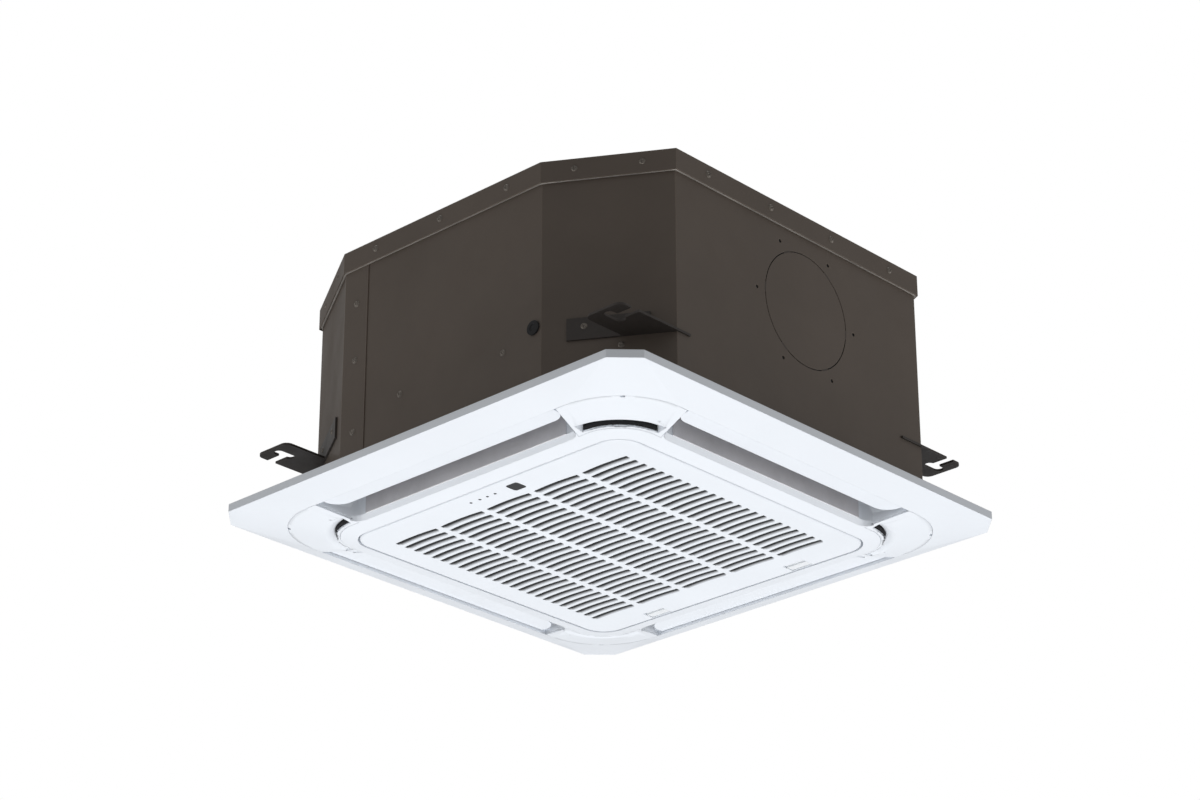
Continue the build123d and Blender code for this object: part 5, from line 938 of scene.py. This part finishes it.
@dataclass
class OutletLining(Assembly):
    """The inner wall of each outlet: a sloping lip, an upright wall above it and the felt glued on it."""
    outlets: int = 4
    lip_s: float = 234.15 * MM
    draft: float = 3.2 * MM
    outer_s: float = 287.0 * MM
    half_outer: float = 188.5 * MM
    half_inner: float = 172.5 * MM
    corner: float = 14.0 * MM
    levels: tuple[float, float, float, float] = (-98.7 * MM, -92.5 * MM, -66.0 * MM, -54.0 * MM)
    lean: float = 4.2 * MM
    back: float = 0.4 * MM
    felt: float = 1.2 * MM
    felt_half: float = 157.0 * MM
    arc_steps: int = 8

    def line(self) -> None:
        """Line the four outlets, and stand for the CAD felt."""
        self._repeat("outlet_inner_walls", self._wall(), "panel_plastic")
        felt = self._repeat("outlet_felt", self._felt(), "duct_felt")
        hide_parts("duct_insulation")

    def _repeat(self, name: str, mesh: Mesh, finish: str) -> Piece:
        """Set the mesh at each of the four outlets."""
        sample = linked(name + "_sample", mesh)
        recipe = NodeRecipe(name, {"Piece": sample, "Sides": self.outlets})
        points = recipe.put("Points", {"Count": "Sides"})
        turn = recipe.maths("DIVIDE", 2 * math.pi, "Sides")
        spin = recipe.vector(Z=recipe.maths("MULTIPLY", recipe.put("InputIndex"), turn))
        placed = recipe.put("InstanceOnPoints", {
            "Points": points, "Rotation": spin, "Instance": recipe.sample("Piece")})
        lined = recipe.mesh(placed, plain_mesh(name + "_carrier"), self.palette.get(finish))
        bpy.data.objects.remove(sample)
        return stand(name, lined, self.body)

    def _outline(self, inner: float) -> list[tuple[float, float]]:
        """Plan of the outlet's inner side at a distance from the middle, with its two rounded corners."""
        share = (inner - self.lip_s) / (self.outer_s - self.lip_s)
        half = self.half_inner + (self.half_outer - self.half_inner) * share
        turn = math.pi / 2 - math.atan2(self.half_outer - self.half_inner, self.outer_s - self.lip_s)
        start = half - self.corner * math.tan(turn / 2)
        points = []
        for step in range(self.arc_steps + 1):
            angle = turn * step / self.arc_steps
            points.append((start + self.corner * math.sin(angle),
                           -inner - self.corner * (1 - math.cos(angle))))
        return [(-x, y) for x, y in reversed(points)] + points

    def _wall(self) -> Mesh:
        """The lip and the upright wall over the plain wall of the panel's frame."""
        lip, foot, shoulder, top = self.levels
        front, behind = self.lip_s + self.draft, self.lip_s - self.back
        rows = [(self.lip_s, lip), (front, foot), (front, shoulder), (front - self.lean, top),
                (self.lip_s - self.lean, top), (behind, shoulder), (behind, lip)]
        points = [(x, y, z) for inner, z in rows for x, y in self._outline(inner)]
        count = len(points) // len(rows)
        faces = [(row * count + index, row * count + index + 1,
                  after * count + index + 1, after * count + index)
                 for row, after in around(len(rows)) for index in range(count - 1)]
        faces += [tuple(row * count for row in range(len(rows))),
                  tuple(row * count + count - 1 for row in reversed(range(len(rows))))]
        return self._closed("outlet_inner_wall", points, faces)

    def _closed(self, name: str, points: list[Point], faces: list[tuple[int, ...]]) -> Mesh:
        """A closed mesh whose faces point outwards."""
        work = bmesh.new()
        verts = [work.verts.new(point) for point in points]
        for face in faces:
            work.faces.new([verts[index] for index in face])
        bmesh.ops.recalc_face_normals(work, faces=work.faces)
        return as_mesh(work, name)

    def _felt(self) -> Mesh:
        """The felt as a bent board along the straight part of the wall."""
        _, foot, shoulder, top = self.levels
        back = self.lip_s + self.draft
        section = [(back, foot), (back, shoulder), (back - self.lean, top),
                   (back - self.lean + self.felt, top), (back + self.felt, shoulder),
                   (back + self.felt, foot)]
        points = [(side * self.felt_half, -s, z) for side in (-1, 1) for s, z in section]
        count = len(section)
        faces = [(index, after, count + after, count + index) for index, after in around(count)]
        faces += [(0, 5, 4, 1), (1, 4, 3, 2), (6, 7, 10, 11), (7, 8, 9, 10)]
        return self._closed("outlet_felt_board", points, faces)


@dataclass
class CornerArcs(Assembly):
    """The arc slot of each corner cover, drawn out to the longer and thinner band that the real cover has."""
    covers: int = 4
    centre: float = 192.0 * MM
    new_centre: float = 182.4 * MM
    radii: Pairs = ((45.8, 55.8), (46.0, 56.0), (50.5, 58.5), (58.5, 71.0), (61.5, 72.0))
    sweeps: Pairs = ((0.0, 0.0), (44.0, 44.0), (51.0, 46.0), (56.0, 47.0))
    rings: tuple[float, float, float, float] = (30.0 * MM, 27.6 * MM, 85.0 * MM, 14.0 * MM)
    seal_centre: float = 184.0 * MM
    seal_low: float = -84.0 * MM
    seal_sweep: float = 36.0
    seal_gain: float = 1.44

    def draw(self) -> None:
        """Make each cover and the foam anew, and stand for their CAD nodes."""
        for number in range(1, self.covers + 1):
            self._redraw(f"corner_cover_{number}", self._moved, "panel_plastic")
        self._redraw("corner_seals", self._widened, "dark_foam")

    def _redraw(self, node: str, move: Callable[[Vector], Vector], finish: str) -> None:
        """Copy a CAD node, move each vertex as seen along its corner's diagonal, and stand for the node."""
        work = merged(node)
        for vert in work.verts:
            away = math.atan2(math.copysign(1, vert.co.y), math.copysign(1, vert.co.x))
            flat = Matrix.Rotation(-away, 3, "Z") @ vert.co
            moved = move(flat)
            if moved is not flat:
                vert.co = Matrix.Rotation(away, 3, "Z") @ moved
        for face in work.faces:
            face.material_index = 0
        mesh = as_mesh(work, node + "_drawn")
        mesh.materials.append(self.palette.get(finish))
        stand(node + "_drawn", mesh, self.body, node)

    def _polar(self, flat: Vector, centre: float) -> tuple[float, float]:
        """Reach and angle of a point about a centre on the diagonal."""
        x, y = flat.x - centre * DIAGONAL, flat.y
        return math.hypot(x, y), math.atan2(y, x)

    def _placed(self, centre: float, reach: float, angle: float, z: float) -> Vector:
        """The point at a reach and angle about a centre on the diagonal."""
        return Vector((centre * DIAGONAL + reach * math.cos(angle), reach * math.sin(angle), z))

    def _widened(self, flat: Vector) -> Vector:
        """Where a vertex of the dark foam goes, so that the foam still fills the longer slot."""
        reach, angle = self._polar(flat, self.seal_centre)
        if flat.z > self.seal_low or abs(math.degrees(angle)) > self.seal_sweep:
            return flat
        return self._placed(self.seal_centre, reach, angle * self.seal_gain, flat.z)

    def _moved(self, flat: Vector) -> Vector:
        """Where a vertex of the arc slot goes; any other stays."""
        reach, angle = self._polar(flat, self.centre)
        radius, sweep = reach / MM, math.degrees(angle)
        if not (self.radii[0][0] <= radius <= self.radii[-1][0] and abs(sweep) <= self.sweeps[-1][0]):
            return flat
        sweep = math.copysign(self._mapped(abs(sweep), self.sweeps), sweep)
        reach = self._mapped(radius, self.radii) * MM
        moved = self._placed(self.new_centre, reach, math.radians(sweep), flat.z)
        moved.z += self._rise(moved) - self._rise(flat)
        return moved

    def _rise(self, flat: Vector) -> float:
        """Height of the panel's sloping face at a point of the corner, above the face's inner ring."""
        inner, apart, outer, height = self.rings
        radius, angle = self._polar(flat, self.new_centre)
        reach = apart * math.cos(angle) + math.sqrt(outer ** 2 - (apart * math.sin(angle)) ** 2)
        return height * (radius - inner) / (reach - inner)

    def _mapped(self, value: float, pairs: Pairs) -> float:
        """The value carried over from the first to the second numbers of the pairs."""
        for (low, new_low), (high, new_high) in zip(pairs, pairs[1:]):
            if value <= high:
                return new_low + (value - low) * (new_high - new_low) / (high - low)
        return value


# ------------------------------------------------------------------ studio

@dataclass
class Studio:
    """Camera, lamps, world and floor."""
    target: Point = (-0.2517, -0.2198, -0.077)
    distance: float = 3.3671
    azimuth: float = -46.76
    elevation: float = -24.91
    roll: float = -0.12
    lens: float = 95.63
    sensor: float = 36.0
    far: float = 100.0
    floor_z: float = -3.7
    floor_half: float = 30.0
    floor_glow: float = 0.45
    floor_tint: Colour = (0.86, 0.86, 0.86)
    world_light: float = 0.30
    lamps: tuple[tuple[str, Point, float, float], ...] = (
        ("key", (-0.1, -0.1, -3.2), 3.0, 98.0), ("left", (-2.6, 2.3, -0.9), 2.2, 20.0),
        ("right", (2.6, -2.3, -0.9), 2.2, 25.0), ("top", (0.8, 0.9, 2.8), 2.5, 45.0))

    def build(self) -> None:
        """Make all of it."""
        self._camera()
        self._world()
        self._lamps()
        self._floor()

    def _camera(self) -> None:
        """The camera at the photograph's angle."""
        azimuth, elevation = math.radians(self.azimuth), math.radians(self.elevation)
        back = Vector((math.sin(azimuth) * math.cos(elevation), -math.cos(azimuth) * math.cos(elevation),
                       math.sin(elevation)))
        data = bpy.data.cameras.new("photo_camera")
        data.lens, data.sensor_width, data.clip_end = self.lens, self.sensor, self.far
        camera = linked("photo_camera", data)
        turn = aimed(-back).to_matrix() @ Matrix.Rotation(math.radians(self.roll), 3, "Z")
        camera.matrix_world = Matrix.Translation(Vector(self.target) + back * self.distance) @ turn.to_4x4()
        bpy.context.scene.camera = camera

    def _world(self) -> None:
        """White to the camera and through glass; a softer even light on the object."""
        world = bpy.data.worlds.new("studio_world")
        tree = cleared(world)
        path = put(tree, "LightPath").outputs
        seen = maths(tree, "MAXIMUM", path["Is Camera Ray"], path["Is Transmission Ray"])
        light = put(tree, "Background", {"Color": WHITE_LIGHT, "Strength": self.world_light})
        white = put(tree, "Background", {"Color": WHITE_LIGHT, "Strength": 1.0})
        put(tree, "OutputWorld", {"Surface": put(tree, "MixShader", {0: seen, 1: light, 2: white})})
        bpy.context.scene.world = world

    def _lamps(self) -> None:
        """Soft square lamps, each aimed at the unit."""
        for name, place, size, power in self.lamps:
            data = bpy.data.lights.new(name, "AREA")
            data.shape, data.size, data.energy = "SQUARE", size, power
            lamp = linked(name, data)
            lamp.location = place
            lamp.visible_camera = False
            lamp.rotation_euler = aimed(-Vector(place)).to_euler()

    def _floor(self) -> None:
        """A pale floor well below the unit, nearly white to the camera."""
        material = bpy.data.materials.new("pale_floor")
        tree = cleared(material)
        seen = put(tree, "LightPath").outputs["Is Camera Ray"]
        matt = put(tree, "BsdfDiffuse", {"Color": rgba(self.floor_tint)})
        glow = put(tree, "Emission", {"Color": WHITE_LIGHT, "Strength": self.floor_glow})
        both = put(tree, "AddShader", {0: matt, 1: glow})
        put(tree, "OutputMaterial", {"Surface": put(tree, "MixShader", {0: seen, 1: matt, 2: both})})
        corners = [(x * self.floor_half, y * self.floor_half, self.floor_z)
                   for x, y in ((-1, -1), (1, -1), (1, 1), (-1, 1))]
        mesh = plain_mesh("floor", corners, faces=[(0, 1, 2, 3)])
        mesh.materials.append(material)
        floor = linked("floor", mesh)
        floor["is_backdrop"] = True


def aimed(way: Vector) -> Quaternion:
    """The turn that points a camera's or a lamp's axis along a way."""
    return way.to_track_quat("-Z", "Y")


def report_size() -> None:
    """Gather the CAD box and the box of the dressed model as plain numbers."""
    boxes = {"cad": CAD_BOX, "visual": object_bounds()}
    plain = {name: [[float(value) for value in corner] for corner in box] for name, box in boxes.items()}


def main() -> None:
    """Build the studio, the finishes and every piece."""
    logging.basicConfig(level=logging.INFO)
    bpy.context.scene.view_settings.view_transform = "Standard"
    Studio().build()
    palette = Palette()
    dress_nodes(palette)
    heads = ScrewHeads(palette)
    heads.set_on("casing_screws", "coated_screw")
    heads.set_on("bracket_screws", "coated_screw")
    heads.set_on("service_screws", "screw_zinc")
    FilterNet(palette, "grille").lay()
    FinPack(palette).fold()
    RimHem(palette).roll()
    SlottedFace(palette, "grille").mould()
    OutletLining(palette).line()
    CornerArcs(palette).draw()
    report_size()


if __name__ == "__main__":
    main()
